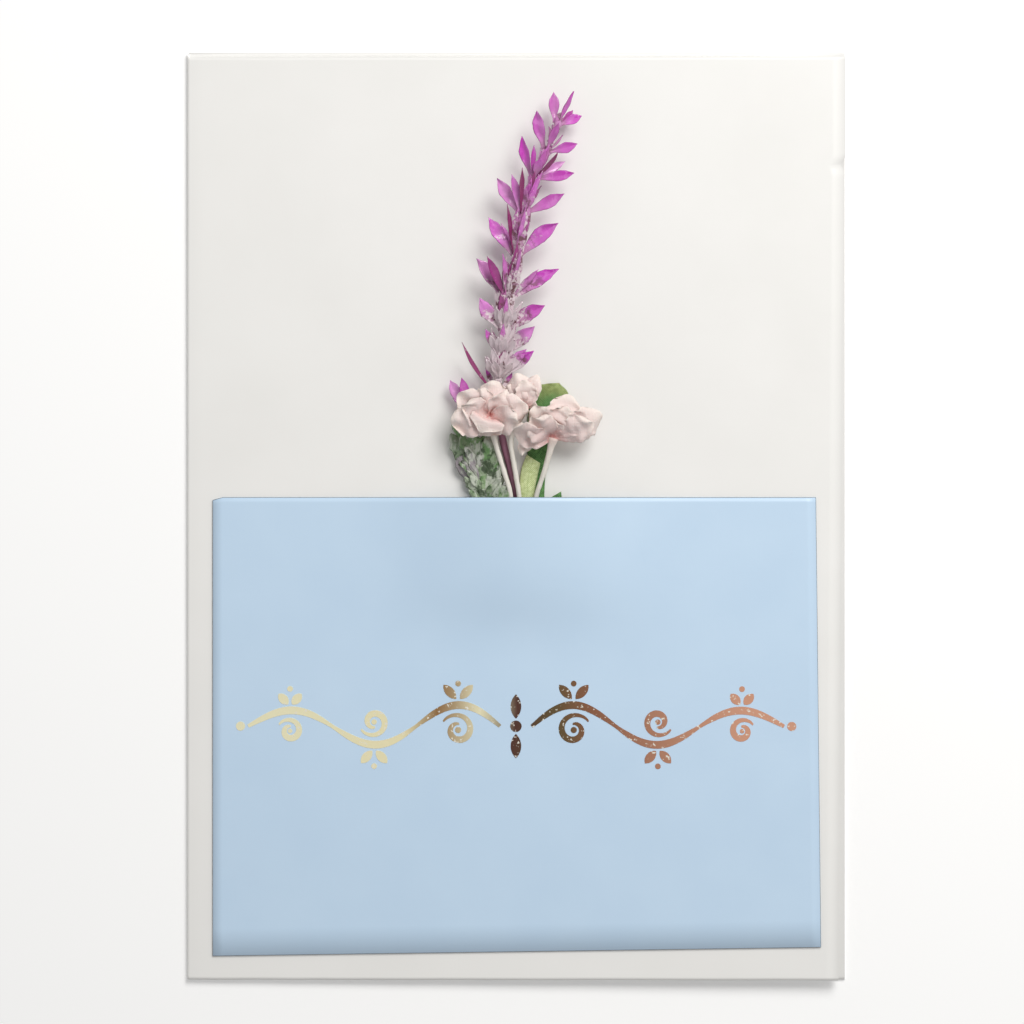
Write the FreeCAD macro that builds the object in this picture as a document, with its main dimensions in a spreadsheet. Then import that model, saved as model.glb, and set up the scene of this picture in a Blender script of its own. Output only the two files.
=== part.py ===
# Greeting card: a folded A6 card whose pocket sheet holds a small spray of artificial flowers.
# Units are millimetres. The card lies on its back: X runs to its right, Y to its top edge, Z up.
import FreeCAD, Part
import math
import os
import Sketcher
from FreeCAD import Placement, Rotation, Vector

doc = FreeCAD.newDocument("GreetingCard")
sizes = doc.addObject("Spreadsheet::Sheet", "Sizes")

SIZES = [
    ("card_width", 105, "width of the folded card"),
    ("card_height", 148, "height of the folded card"),
    ("card_board", 0.32, "thickness of the card board"),
    ("fold_inside", 0.12, "inside radius of the fold"),
    ("opening_angle", 0.7, "degrees by which the front leaf springs open"),
    ("front_short_top", 0.8, "front leaf stops this far below the back leaf"),
    ("front_short_corner", 1.1, "front leaf stops this far short at the lower right corner"),
    ("dent_depth", 0.65, "depth of the dent in the right edge"),
    ("dent_length", 2.8, "length of the dent in the right edge"),
    ("dent_place", 56.5, "height of the dent above the middle of the card"),
    ("mouth_level", 3.0, "height of the pocket mouth above the middle of the card"),
    ("margin_left", 4.1, "card left bare at the left of the pocket sheet"),
    ("margin_right", 4.7, "card left bare at the right of the pocket sheet, at the mouth"),
    ("margin_foot", 3.8, "card left bare under the pocket sheet, at the left"),
    ("pocket_lean", 0.8, "how far the lower right corner of the sheet stands further out"),
    ("pocket_skew", 1.5, "how much shorter the sheet is at its right edge"),
    ("pocket_paper", 0.2, "thickness of the pocket sheet"),
    ("tape_thick", 0.12, "thickness of the double-sided tape"),
    ("tape_width", 6, "width of the tape strips"),
    ("tape_inset", 0.8, "distance of the tape from the sheet's edge"),
    ("mouth_lift", 3.0, "how far the stems lift the pocket sheet at its mouth"),
    ("mouth_spread", 27, "half width of the lifted part of the sheet"),
    ("mouth_fade", 10, "how far the lift reaches past the cut ends of the wires"),
    ("foil_thick", 0.04, "thickness of the foil"),
    ("foil_line", 1.3, "width that the foil's strokes are drawn from"),
    ("foil_break", 0.3, "gap that keeps two strokes of the foil apart"),
    ("foil_level", 33.5, "middle line of the foil below the middle of the card"),
    ("foil_wave", 13.4, "length of one half wave of the foil's stem"),
    ("foil_swing", 3.6, "height of one half wave of the foil's stem"),
    ("foil_spiral", 2.9, "outer radius of a spiral of the foil"),
    ("spike_wire", 0.6, "diameter of the spike's wire"),
    ("flower_wire", 0.85, "diameter of a paper flower's wire"),
    ("thread_gap", 0.06, "clearance of a whorl on its wire"),
    ("collar_wall", 0.24, "wall of a whorl's collar"),
    ("whorl_gap", 0.7, "gap between the collars of two whorls"),
    ("root_depth", 0.7, "depth of the bracts' feet below a collar's rim"),
    ("sepal_share", 0.56, "length of a small sepal as a share of the way to the next whorl"),
    ("sepal_width", 1.4, "width of a small sepal"),
    ("sepal_rise", 2.4, "how far a small sepal's tip stands in front of the wire"),
    ("bract_thick", 0.4, "thickness of a moulded bract"),
    ("petal_paper", 0.22, "thickness of a paper petal"),
    ("petal_hub", 0.7, "radius of the flat hub where the petals' feet meet"),
    ("layer_gap", 0.1, "gap between two layers of petals at the wire"),
    ("leaf_cloth", 0.25, "thickness of the woven leaves"),
    ("wrap_length", 6, "length of the tape band around the wires"),
    ("wrap_thick", 0.2, "thickness of the tape band around the wires"),
    ("wrap_level", -3.5, "upper edge of the tape band around the wires"),
    ("wire_end", -12, "cut ends of the wires inside the pocket"),
    ("wire_pitch", 1.1, "distance between two wires in the tape band"),
    ("bundle_middle", 0.6, "middle of the tape band, right of the card's middle"),
    ("sprig_stalk", 0.8, "diameter of the side sprig's stalk"),
    ("resting_gap", 0.1, "clearance between pieces that rest on each other"),
]
for row, (alias, value, note) in enumerate(SIZES, start=1):
    sizes.set("A%d" % row, note)
    sizes.set("B%d" % row, str(value))
    sizes.setAlias("B%d" % row, alias)
doc.recompute()


def size(alias):
    return float(sizes.get(alias))


# The front leaf is hinged at the fold, and all that lies on it takes its tilt.
TILT = ("placement(vector(0; 0; 2 * (Sizes.card_board + Sizes.fold_inside));"
        " rotation(vector(0; 1; 0); -Sizes.opening_angle);"
        " vector(-Sizes.card_width / 2 + Sizes.fold_inside + Sizes.card_board; 0;"
        " -Sizes.card_board - Sizes.fold_inside))")
fold_radius = size("card_board") + size("fold_inside")
half_width = size("card_width") / 2
leaf_tilt = Placement(Vector(0, 0, 2 * fold_radius), Rotation(Vector(0, 1, 0), -size("opening_angle")),
                      Vector(fold_radius - half_width, 0, -fold_radius))

pieces = []


def keep(piece, label):
    piece.Label = label
    pieces.append(piece)
    return piece


def new_body(label, tilted=True):
    body = keep(doc.addObject("PartDesign::Body", label), label)
    if tilted:
        body.setExpression("Placement", TILT)
    return body


def new_shape(label, shape, place=Placement()):
    """A piece with a free form, laid on the tilted front leaf."""
    piece = keep(doc.addObject("Part::Feature", label), label)
    piece.Shape = shape
    piece.Placement = leaf_tilt.multiply(place)
    return piece


def new_sketch(body, name, plane, level=None):
    sketch = body.newObject("Sketcher::SketchObject", name)
    origin_plane = [part for part in body.Origin.OriginFeatures if part.Role == plane][0]
    sketch.AttachmentSupport = (origin_plane, [""])
    sketch.MapMode = "FlatFace"
    if level is not None:
        sketch.setExpression("AttachmentOffset.Base.z", level)
    return sketch


def value_of(expression):
    """What a sheet expression gives now, used as a sketch's starting shape."""
    names = {alias: size(alias) for alias, _, _ in SIZES}
    text = expression
    for alias in sorted(names, key=len, reverse=True):
        text = text.replace("Sizes." + alias, "(%r)" % names[alias])
    return FreeCAD.Units.parseQuantity(text).Value


def draw_outline(sketch, corners):
    """Adds a closed outline of straight lines, each corner held by two sheet expressions."""
    first = sketch.GeometryCount
    count = len(corners)
    points = [Vector(value_of(across), value_of(up), 0) for across, up in corners]
    for i in range(count):
        sketch.addGeometry(Part.LineSegment(points[i], points[(i + 1) % count]), False)
    for i in range(count):
        sketch.addConstraint(Sketcher.Constraint("Coincident", first + i, 2, first + (i + 1) % count, 1))
    for i, expressions in enumerate(corners):
        for kind, start, expression in zip(("DistanceX", "DistanceY"), points[i], expressions):
            made = sketch.addConstraint(Sketcher.Constraint(kind, -1, 1, first + i, 1, start))
            sketch.setExpression("Constraints[%d]" % made, expression)


def pad(body, sketch, length, side="One side"):
    feature = body.newObject("PartDesign::Pad", "Pad")
    feature.Profile = sketch
    feature.SideType = side
    feature.setExpression("Length", length)
    return feature


# Card: one board folded down its left edge, the front leaf a little open and cut a little short.
def make_card():
    card = new_body("card", tilted=False)
    section = new_sketch(card, "FoldedSection", "XZ_Plane")
    board = size("card_board")
    inner = size("fold_inside")
    slope = math.radians(size("opening_angle"))
    along = Vector(math.cos(slope), math.sin(slope), 0)
    normal = Vector(-math.sin(slope), math.cos(slope), 0)
    centre = Vector(fold_radius - half_width, fold_radius, 0)
    run = size("card_width") - fold_radius
    outer_top = centre + normal * fold_radius
    inner_top = centre + normal * inner
    inner_low = centre - Vector(0, inner, 0)
    lines = [
        (Vector(half_width, 0, 0), Vector(centre.x, 0, 0)),
        None,
        (outer_top, outer_top + along * run),
        (outer_top + along * run, inner_top + along * run),
        (inner_top + along * run, inner_top),
        None,
        (inner_low, Vector(half_width, board, 0)),
        (Vector(half_width, board, 0), Vector(half_width, 0, 0)),
    ]
    arc_radii = {1: fold_radius, 5: inner}
    for i, line in enumerate(lines):
        if line is None:
            circle = Part.Circle(centre, Vector(0, 0, 1), arc_radii[i])
            section.addGeometry(Part.ArcOfCircle(circle, math.pi / 2 + slope, math.pi * 1.5), False)
        else:
            section.addGeometry(Part.LineSegment(*line), False)
    bottom, outer_arc, top, front_edge, under, inner_arc, upper, back_edge = range(8)
    rules = [
        ("PointOnObject", bottom, 1, -1),
        ("Horizontal", bottom),
        ("Tangent", bottom, 2, outer_arc, 2),
        ("Tangent", outer_arc, 1, top, 1),
        ("Coincident", top, 2, front_edge, 1),
        ("Perpendicular", top, front_edge),
        ("Coincident", front_edge, 2, under, 1),
        ("Tangent", under, 2, inner_arc, 1),
        ("Coincident", inner_arc, 3, outer_arc, 3),
        ("Tangent", inner_arc, 2, upper, 1),
        ("Coincident", upper, 2, back_edge, 1),
        ("Vertical", back_edge),
        ("Coincident", back_edge, 2, bottom, 1),
    ]
    for rule in rules:
        section.addConstraint(Sketcher.Constraint(*rule))
    dimensions = [
        (("DistanceX", -1, 1, bottom, 1, half_width), "Sizes.card_width / 2"),
        (("DistanceX", outer_arc, 3, -1, 1, half_width - fold_radius),
         "Sizes.card_width / 2 - Sizes.fold_inside - Sizes.card_board"),
        (("Radius", outer_arc, fold_radius), "Sizes.fold_inside + Sizes.card_board"),
        (("DistanceY", back_edge, 2, back_edge, 1, board), "Sizes.card_board"),
        (("Distance", top, run), "Sizes.card_width - Sizes.fold_inside - Sizes.card_board"),
        (("Angle", top, slope), "Sizes.opening_angle"),
    ]
    for rule, expression in dimensions:
        made = section.addConstraint(Sketcher.Constraint(*rule))
        section.setExpression("Constraints[%d]" % made, expression)
    pad(card, section, "Sizes.card_height", "Symmetric")

    trim = new_sketch(card, "FrontLeafTrim", "XY_Plane", "Sizes.card_board + Sizes.fold_inside")
    right = "Sizes.card_width / 2"
    top_edge = "Sizes.card_height / 2"
    draw_outline(trim, [
        ("-%s - 1" % right, "%s + 1" % top_edge),
        ("-%s - 1" % right, "%s - Sizes.front_short_top" % top_edge),
        (right, "%s - Sizes.front_short_top" % top_edge),
        (right, "Sizes.dent_place + Sizes.dent_length / 2"),
        ("%s - Sizes.dent_depth" % right, "Sizes.dent_place"),
        ("%s - Sizes.dent_depth / 4" % right, "Sizes.dent_place - Sizes.dent_length / 2"),
        ("%s - Sizes.front_short_corner" % right, "-%s - 1" % top_edge),
        ("%s + 1" % right, "-%s - 1" % top_edge),
        ("%s + 1" % right, "%s + 1" % top_edge),
    ])
    cut = card.newObject("PartDesign::Pocket", "FrontLeafCut")
    cut.Profile = trim
    cut.Reversed = True
    cut.setExpression("Length", "Sizes.card_width")


make_card()


# Pocket sheet: flat where it is taped down, lifted at its open mouth by the stems behind it.
def cloth_surface(net):
    """Smooth cubic surface that follows a net of control points, rows of equal length."""
    degree = 3
    rows, columns = len(net), len(net[0])
    surface = Part.BSplineSurface()
    row_knots = list(range(rows - degree + 1))
    column_knots = list(range(columns - degree + 1))
    surface.buildFromPolesMultsKnots(
        net,
        [degree + 1] + [1] * (rows - degree - 1) + [degree + 1],
        [degree + 1] + [1] * (columns - degree - 1) + [degree + 1],
        row_knots, column_knots, False, False, degree, degree)
    return surface.toShape()


def make_pocket_sheet():
    """Control points run down from the mouth. Each row has its share of the lifted stretch,
    and its share of the lift."""
    lifted_rows = [(0, 1), (0.17, 0.95), (0.38, 0.85), (0.62, 0.58), (0.82, 0.14), (1, 0), (1.12, 0),
                   (1.3, 0)]
    lifted_stretch = size("mouth_level") - size("wire_end") + size("mouth_fade")
    depth = size("card_height") / 2 + size("mouth_level") - size("margin_foot")
    left = half_width - size("margin_left")
    right = half_width - size("margin_right")
    rows = [(stretch * lifted_stretch / depth, share) for stretch, share in lifted_rows] + [(0.7, 0), (1, 0)]
    columns = 11
    net = []
    for down, share in rows:
        row = []
        for j in range(columns):
            across = j / (columns - 1)
            x = (left + right + size("pocket_lean") * down) * across - left
            y = size("mouth_level") - (depth - size("pocket_skew") * across) * down
            off_middle = min(1.0, abs(x) / size("mouth_spread"))
            lift = size("mouth_lift") * share * math.cos(off_middle * math.pi / 2) ** 2
            row.append(Vector(x, y, size("tape_thick") + lift))
        net.append(row)
    new_shape("pocket_sheet", cloth_surface(net).extrude(Vector(0, 0, size("pocket_paper"))))


make_pocket_sheet()


def make_tape(label, corners):
    body = new_body(label)
    sketch = new_sketch(body, label + "_outline", "XY_Plane")
    draw_outline(sketch, corners)
    pad(body, sketch, "Sizes.tape_thick")


def make_tapes():
    mouth = "Sizes.mouth_level - Sizes.tape_inset"
    left_out = "-Sizes.card_width / 2 + Sizes.margin_left + Sizes.tape_inset"
    left_in = left_out + " + Sizes.tape_width"
    right_out = "Sizes.card_width / 2 - Sizes.margin_right - Sizes.tape_inset"
    right_in = right_out + " - Sizes.tape_width"
    left_foot = "-Sizes.card_height / 2 + Sizes.margin_foot + Sizes.tape_inset"
    right_foot = left_foot + " + Sizes.pocket_skew"
    left_head = left_foot + " + Sizes.tape_width"
    right_head = right_foot + " + Sizes.tape_width"
    left_start = left_head + " + Sizes.tape_inset"
    right_start = right_head + " + Sizes.tape_inset"
    make_tape("pocket_tape_left", [
        (left_out, left_start), (left_in, left_start), (left_in, mouth), (left_out, mouth)])
    make_tape("pocket_tape_right", [
        (right_in, right_start), (right_out, right_start), (right_out, mouth), (right_in, mouth)])
    make_tape("pocket_tape_bottom", [
        (left_out, left_foot), (right_out, right_foot), (right_out, right_head), (left_out, left_head)])


make_tapes()


# Foil ornament: a wavy stem to each side of a rosette, a spiral in each hollow, leaves on each crest.
def foil_ribbon(centre_line, half_widths):
    """A stroke that swells and thins: a smooth line with its own half width at each point."""
    count = len(centre_line)
    sides = ([], [])
    for i, point in enumerate(centre_line):
        ahead = centre_line[min(i + 1, count - 1)] - centre_line[max(i - 1, 0)]
        across = Vector(-ahead.y, ahead.x, 0).normalize() * half_widths[i]
        sides[0].append(point + across)
        sides[1].append(point - across)
    edges = []
    for side in sides:
        curve = Part.BSplineCurve()
        curve.interpolate(side)
        edges.append(curve.toShape())
    edges.append(Part.LineSegment(sides[0][0], sides[1][0]).toShape())
    edges.append(Part.LineSegment(sides[0][-1], sides[1][-1]).toShape())
    outline = Part.Wire(Part.__sortEdges__(edges))
    return Part.Face(outline).extrude(Vector(0, 0, size("foil_thick")))


def foil_leaf(start, heading, length, width):
    """A leaf between two arcs that meet in points."""
    turn = math.radians(heading)
    run = Vector(math.sin(turn), math.cos(turn), 0)
    side = Vector(-run.y, run.x, 0) * width / 2
    end = start + run * length
    middle = start + run * length * 0.5
    outline = [Part.Arc(start, middle + side, end).toShape(), Part.Arc(end, middle - side, start).toShape()]
    return Part.Face(Part.Wire(outline)).extrude(Vector(0, 0, size("foil_thick")))


def foil_dot(centre, radius):
    return Part.makeCylinder(radius, size("foil_thick"), centre)


def foil_spiral(crest, side, up, fade):
    """A spiral in the hollow under a crest, thick in its middle stretch, round a dot."""
    line = size("foil_line")
    outer = size("foil_spiral") * fade
    inner = outer * 0.36
    centre = crest - Vector(0, up * (outer + line / 2 + size("foil_break") * 2), 0)
    steps = 12
    points = []
    widths = []
    for i in range(steps + 1):
        share = i / steps
        radius = outer * (inner / outer) ** share
        turn = math.radians(430 * share - 60)
        points.append(centre + Vector(-side * math.sin(turn), up * math.cos(turn), 0) * radius)
        widths.append(line * (0.12 + 0.28 * math.sin(math.pi * share) ** 0.8))
    return [foil_ribbon(points, widths), foil_dot(centre, inner / 2)]


def foil_crest(crest, up, fade):
    """Two leaves and a dot on the outer side of a crest."""
    line = size("foil_line")
    gap = size("foil_break")
    rim = crest + Vector(0, up * (line / 2 + gap), 0)
    shapes = [foil_dot(rim + Vector(0, up * line * 1.9, 0), line * 0.35)]
    for lean in (-42, 42):
        foot = rim + Vector(math.copysign(gap, lean) * up, 0, 0)
        heading = lean if up > 0 else lean + 180
        shapes.append(foil_leaf(foot, heading, line * 2.5 * fade, line * 1.1))
    return shapes


def foil_side(middle, side):
    """One side of the ornament: three half waves, each a little lower than the last."""
    wave = size("foil_wave")
    line = size("foil_line")
    half_wave_count = 3
    loss = 0.12
    start = line * 1.7 + size("foil_break")
    steps = 8 * half_wave_count
    stem = []
    widths = []
    for i in range(steps + 1):
        place = half_wave_count * i / steps
        height = size("foil_swing") * (1 - loss * place) * math.sin(math.pi * place)
        stem.append(middle + Vector(side * (start + wave * place), height, 0))
        widths.append(line * (0.22 + 0.26 * abs(math.sin(math.pi * place))))
    shapes = [foil_ribbon(stem, widths)]
    for k in range(half_wave_count):
        up = 1 if k % 2 == 0 else -1
        fade = 1 - loss * (k + 0.5)
        crest = middle + Vector(side * (start + wave * (k + 0.5)), up * size("foil_swing") * fade, 0)
        shapes += foil_spiral(crest, side, up, fade)
        shapes += foil_crest(crest, up, fade)
    end = start + wave * half_wave_count + line * 0.7 + size("foil_break")
    shapes.append(foil_dot(middle + Vector(side * end, 0, 0), line * 0.56))
    return shapes


def make_foil():
    middle = Vector(0, -size("foil_level"), size("tape_thick") + size("pocket_paper"))
    bud = size("foil_line") * 0.7
    shapes = [foil_dot(middle, bud)]
    for heading, up in ((0, 1), (180, -1)):
        petal_foot = middle + Vector(0, up * (bud + size("foil_break")), 0)
        shapes.append(foil_leaf(petal_foot, heading, size("foil_line") * 3, size("foil_line") * 1.3))
    for side in (-1, 1):
        shapes += foil_side(middle, side)
    new_shape("foil_ornament", Part.makeCompound(shapes))


make_foil()


# Wires: straight runs joined by tangent arcs.
def bent_path(points, corner_share):
    edges = []
    last = points[0]
    for before, corner, after in zip(points, points[1:], points[2:]):
        inward = (before - corner).normalize()
        outward = (after - corner).normalize()
        reach = corner_share * min((before - corner).Length, (after - corner).Length)
        half_turn = (math.pi - inward.getAngle(outward)) / 2
        radius = reach / math.tan(half_turn)
        to_centre = (inward + outward).normalize()
        centre = corner + to_centre * (radius / math.cos(half_turn))
        start = corner + inward * reach
        end = corner + outward * reach
        edges.append(Part.LineSegment(last, start).toShape())
        edges.append(Part.Arc(start, centre - to_centre * radius, end).toShape())
        last = end
    edges.append(Part.LineSegment(last, points[-1]).toShape())
    return Part.Wire(edges)


def wire_solid(points, diameter, corner_share=0.4):
    path = bent_path(points, corner_share)
    ring = Part.Wire(Part.makeCircle(diameter / 2, points[0], points[1] - points[0]))
    return path.makePipeShell([ring], True, False)


# Where the wires lie in the tape band, counted from its left.
def band_place(slot, y, diameter):
    level = size("wrap_thick") + size("resting_gap") + diameter / 2
    return Vector(size("bundle_middle") + (slot - 1.5) * size("wire_pitch"), y, level)


band_top = size("wrap_level") + size("resting_gap") * 5

# Purple spike: points where its whorls sit, from the tip down, then the way of the wire to the pocket.
spike_nodes = [
    Vector(6.8, 62.9, 3.0),
    Vector(5.2, 58.6, 3.2),
    Vector(3.1, 54.3, 3.3),
    Vector(1.1, 48.7, 3.4),
    Vector(0.1, 42.0, 3.5),
    Vector(-1.2, 35.2, 3.5),
    Vector(-1.9, 30.2, 3.4),
    Vector(-2.4, 26.2, 3.3),
    Vector(-2.7, 22.8, 3.1),
    Vector(-2.9, 19.8, 2.8),
]
spike_foot = [
    Vector(-2.9, 16.6, 2.3),
    Vector(-2.3, 13.0, 1.7),
    Vector(-1.1, 8.0, 1.0),
    Vector(0.0, 3.0, 0.6),
]
# Bracts of each whorl: where the tip lies (right, up), degrees of lift, width, degrees of roll.
spike_bracts = [
    [(6.0, 67.3, 5, 1.7, 10), (9.0, 67.4, 20, 1.0, 60), (10.5, 63.5, -6, 1.6, 0), (9.0, 64.6, -35, 1.1, 20)],
    [(3.5, 64.3, 10, 2.0, -10), (6.9, 62.3, 35, 1.3, 20), (7.4, 60.7, -35, 0.7, 60), (9.8, 59.1, 4, 1.8, 5)],
    [(1.2, 60.3, 6, 1.6, -15), (2.8, 58.8, 30, 1.0, 30), (6.6, 57.5, 30, 1.1, 50), (7.8, 56.3, -15, 1.4, 10),
     (9.3, 54.4, 2, 1.8, 0)],
    [(-3.0, 53.5, 5, 2.1, 10), (-0.8, 54.1, 22, 1.4, 15), (0.7, 55.2, 32, 0.9, 30), (3.5, 53.9, 28, 1.3, 40),
     (7.8, 51.0, 6, 2.0, -10), (3.8, 52.6, -30, 0.8, 50)],
    [(-4.4, 47.3, 8, 2.1, 15), (-2.6, 46.3, -15, 1.2, 40), (-1.9, 49.3, 25, 0.9, 40),
     (1.4, 48.8, 30, 1.1, 50), (6.9, 46.3, 8, 2.4, 0)],
    [(-6.4, 40.7, 8, 2.4, 10), (-4.7, 41.1, 24, 1.5, 20), (-2.3, 41.5, 30, 1.1, 40), (0.1, 42.5, 30, 1.1, 60),
     (3.5, 39.2, 10, 1.2, 30), (7.0, 39.0, 2, 2.2, -5)],
    [(-5.7, 34.6, 14, 2.3, 10), (-1.6, 34.6, 32, 1.1, 50), (4.8, 33.2, 10, 2.5, -10)],
    [(-4.9, 29.6, 8, 1.3, 20), (-2.2, 30.6, 32, 1.2, 40), (3.1, 30.1, 10, 2.4, 5)],
    [(-4.6, 25.3, 12, 0.8, 20), (1.8, 26.4, 14, 1.9, 10), (3.0, 26.2, 8, 2.0, 0)],
    [(-8.6, 27.6, 6, 0.7, 20), (-4.9, 23.6, -12, 0.9, 20), (-0.6, 22.8, -12, 1.1, 0)],
]
# Small sepals of each whorl: how many, and how far apart the outermost tips stand.
spike_sepals = [(0, 0), (0, 0), (1, 0), (2, 1.2), (2, 1.4), (3, 2.0), (4, 3.2), (4, 3.8), (4, 4.2), (0, 0)]


# Half outlines: share of the width, share of the length.
pointed = [(0.22, 0), (0.36, 0.35), (0.5, 0.62), (0.3, 0.86), (0, 1)]
rounded = [(0.16, 0), (0.3, 0.2), (0.45, 0.42), (0.5, 0.65), (0.46, 0.84), (0.3, 0.96), (0, 1)]


def blade(seat, tip, width, thick, half_outline=pointed, roll=0):
    """A flat blade from its seat to its tip, rolled about its own length."""
    reach = tip - seat
    length = reach.Length
    level = -thick / 2
    corners = [Vector(-across * width, along * length, level) for across, along in half_outline]
    corners += [Vector(-corner.x, corner.y, level) for corner in reversed(corners[:-1])]
    solid = Part.Face(Part.makePolygon(corners + corners[:1])).extrude(Vector(0, 0, thick))
    heading = math.degrees(math.atan2(reach.x, reach.y))
    lift = math.degrees(math.asin(reach.z / length))
    turn = Rotation(Vector(0, 0, 1), -heading)
    turn = turn.multiply(Rotation(Vector(1, 0, 0), lift))
    turn = turn.multiply(Rotation(Vector(0, 1, 0), roll))
    solid.Placement = Placement(seat, turn)
    return solid


def bract_tips(node, bracts):
    tips = []
    for right, up, lift, width, roll in bracts:
        level_reach = math.hypot(right - node.x, up - node.y)
        tips.append((Vector(right, up, node.z + level_reach * math.tan(math.radians(lift))), width, roll))
    return tips


def sepal_tips(node, above, count, spread):
    """Tips of the small sepals, side by side in front of the wire and short of the next whorl."""
    up = (above - node) * size("sepal_share")
    across = up.cross(Vector(0, 0, 1)).normalize()
    tips = []
    for k in range(count):
        place = k / (count - 1) - 0.5 if count > 1 else 0
        front = Vector(0, 0, size("sepal_rise") * (1 - 0.4 * abs(place)))
        tips.append((node + up + across * spread * place + front, size("sepal_width"), 60 * place))
    return tips


def make_whorl(label, node, below, tips, wire, at_tip=False):
    """One moulding: a collar that reaches down the wire to the next whorl, and blades on its rim, each
    from the wire to its own tip. The whorl at the wire's end is closed by a small cone."""
    bore = wire / 2 + size("thread_gap")
    outer = bore + size("collar_wall")
    down = below - node
    collar_length = down.Length - size("whorl_gap")
    down.normalize()
    moulding = [Part.makeCylinder(outer, collar_length, node, down)]
    if at_tip:
        moulding.append(Part.makeCone(outer, outer * 0.3, outer * 2, node, down * -1))
    for tip, width, roll in tips:
        outward = tip - node
        outward = (outward - down * outward.dot(down)).normalize()
        seat = node + down * size("root_depth") + outward * (bore + size("collar_wall") / 2)
        moulding.append(blade(seat, tip, width, size("bract_thick"), roll=roll))
    solid = moulding[0].multiFuse(moulding[1:])
    hole_top = node - down * (0 if at_tip else size("bract_thick") * 4)
    solid = solid.cut(Part.makeCylinder(bore, collar_length * 2, hole_top, down))
    new_shape(label, solid.removeSplitter())


def make_spike():
    wire = size("spike_wire")
    ends = [band_place(1, band_top, wire), band_place(1, size("wire_end"), wire)]
    path = spike_nodes + spike_foot + ends
    path[0] = path[0] + (path[1] - path[0]).normalize() * size("thread_gap")
    new_shape("spike_stem", wire_solid(path, wire, 0.2))
    for k, node in enumerate(spike_nodes):
        below = (spike_nodes + spike_foot)[k + 1]
        tips = bract_tips(node, spike_bracts[k])
        tips += sepal_tips(node, spike_nodes[k - 1], *spike_sepals[k])
        make_whorl("spike_whorl_%02d" % (k + 1), node, below, tips, wire, at_tip=(k == 0))


make_spike()


# Side sprig: a frosted moulding of blunt leaves on its own stalk, with one floret on its tip.
sprig_points = [
    Vector(-4.2, -4.0, 1.0),
    Vector(-4.6, 3.0, 1.0),
    Vector(-6.2, 9.0, 1.0),
    Vector(-8.1, 17.6, 1.2),
]
# Leaves of the sprig: share of the stalk below the leaf, then its tip (right, up, in front), and width.
sprig_leaves = [
    (0.20, -2.2, 5.2, 1.1, 2.4),
    (0.24, -7.6, 6.8, 0.9, 2.6),
    (0.26, -2.9, 9.2, 1.2, 2.8),
    (0.32, -4.8, 12.4, 1.5, 3.0),
    (0.40, -9.2, 9.4, 0.9, 2.6),
    (0.46, -6.8, 13.2, 1.8, 3.0),
    (0.52, -10.5, 13.0, 1.0, 2.8),
    (0.56, -8.6, 13.6, 1.5, 2.8),
    (0.60, -4.6, 13.4, 1.3, 2.4),
    (0.62, -10.1, 15.2, 1.2, 1.4),
]
# Bracts of the floret, given as those of the spike.
floret_bracts = [(-10.5, 21.6, 4, 1.9, 0), (-8.8, 22.0, 20, 1.6, 20), (-6.9, 20.2, 0, 1.3, 0)]


def make_side_sprig():
    stalk = size("sprig_stalk")
    spots = bent_path(sprig_points, 0.4).discretize(101)
    parts = [wire_solid(sprig_points, stalk)]
    for share, across, up, level, width in sprig_leaves:
        spot = spots[int(share * 100)]
        parts.append(blade(spot, Vector(across, up, level), width, size("bract_thick") * 2))
    new_shape("side_sprig", parts[0].multiFuse(parts[1:]).removeSplitter())
    tip = sprig_points[-1]
    collar_foot = size("whorl_gap") + size("root_depth") + size("collar_wall") * 3
    lower = tip + (sprig_points[-2] - tip).normalize() * collar_foot
    above = tip + (tip - sprig_points[-2]).normalize() * size("thread_gap")
    make_whorl("side_floret", above, lower, bract_tips(above, floret_bracts), stalk, at_tip=True)


make_side_sprig()


# Paper flowers: two layers of broad petals whose feet meet at the heart, on the end of a wire.
def make_petals(label, heart, petals):
    """Each petal is given by its tip and width, and by its own foot where it hangs from another petal."""
    paper = size("petal_paper")
    parts = [Part.makeCylinder(size("petal_hub"), paper, heart - Vector(0, 0, paper / 2))]
    for tip, width, *foot in petals:
        seat = foot[0] if foot else heart
        parts.append(blade(seat, tip, width, paper, rounded))
    new_shape(label, parts[0].multiFuse(parts[1:]).removeSplitter())


def make_flower(name, heart, outer, inner, stem):
    make_petals(name + "_outer", heart, outer)
    raised = heart + Vector(0, 0, size("petal_paper") * 1.2 + size("layer_gap"))
    make_petals(name + "_inner", raised, inner)
    below = (size("flower_wire") + size("petal_paper")) / 2 + size("resting_gap")
    start = heart - Vector(0, 0, below)
    new_shape(name + "_stem", wire_solid([start] + stem, size("flower_wire")))


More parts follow.
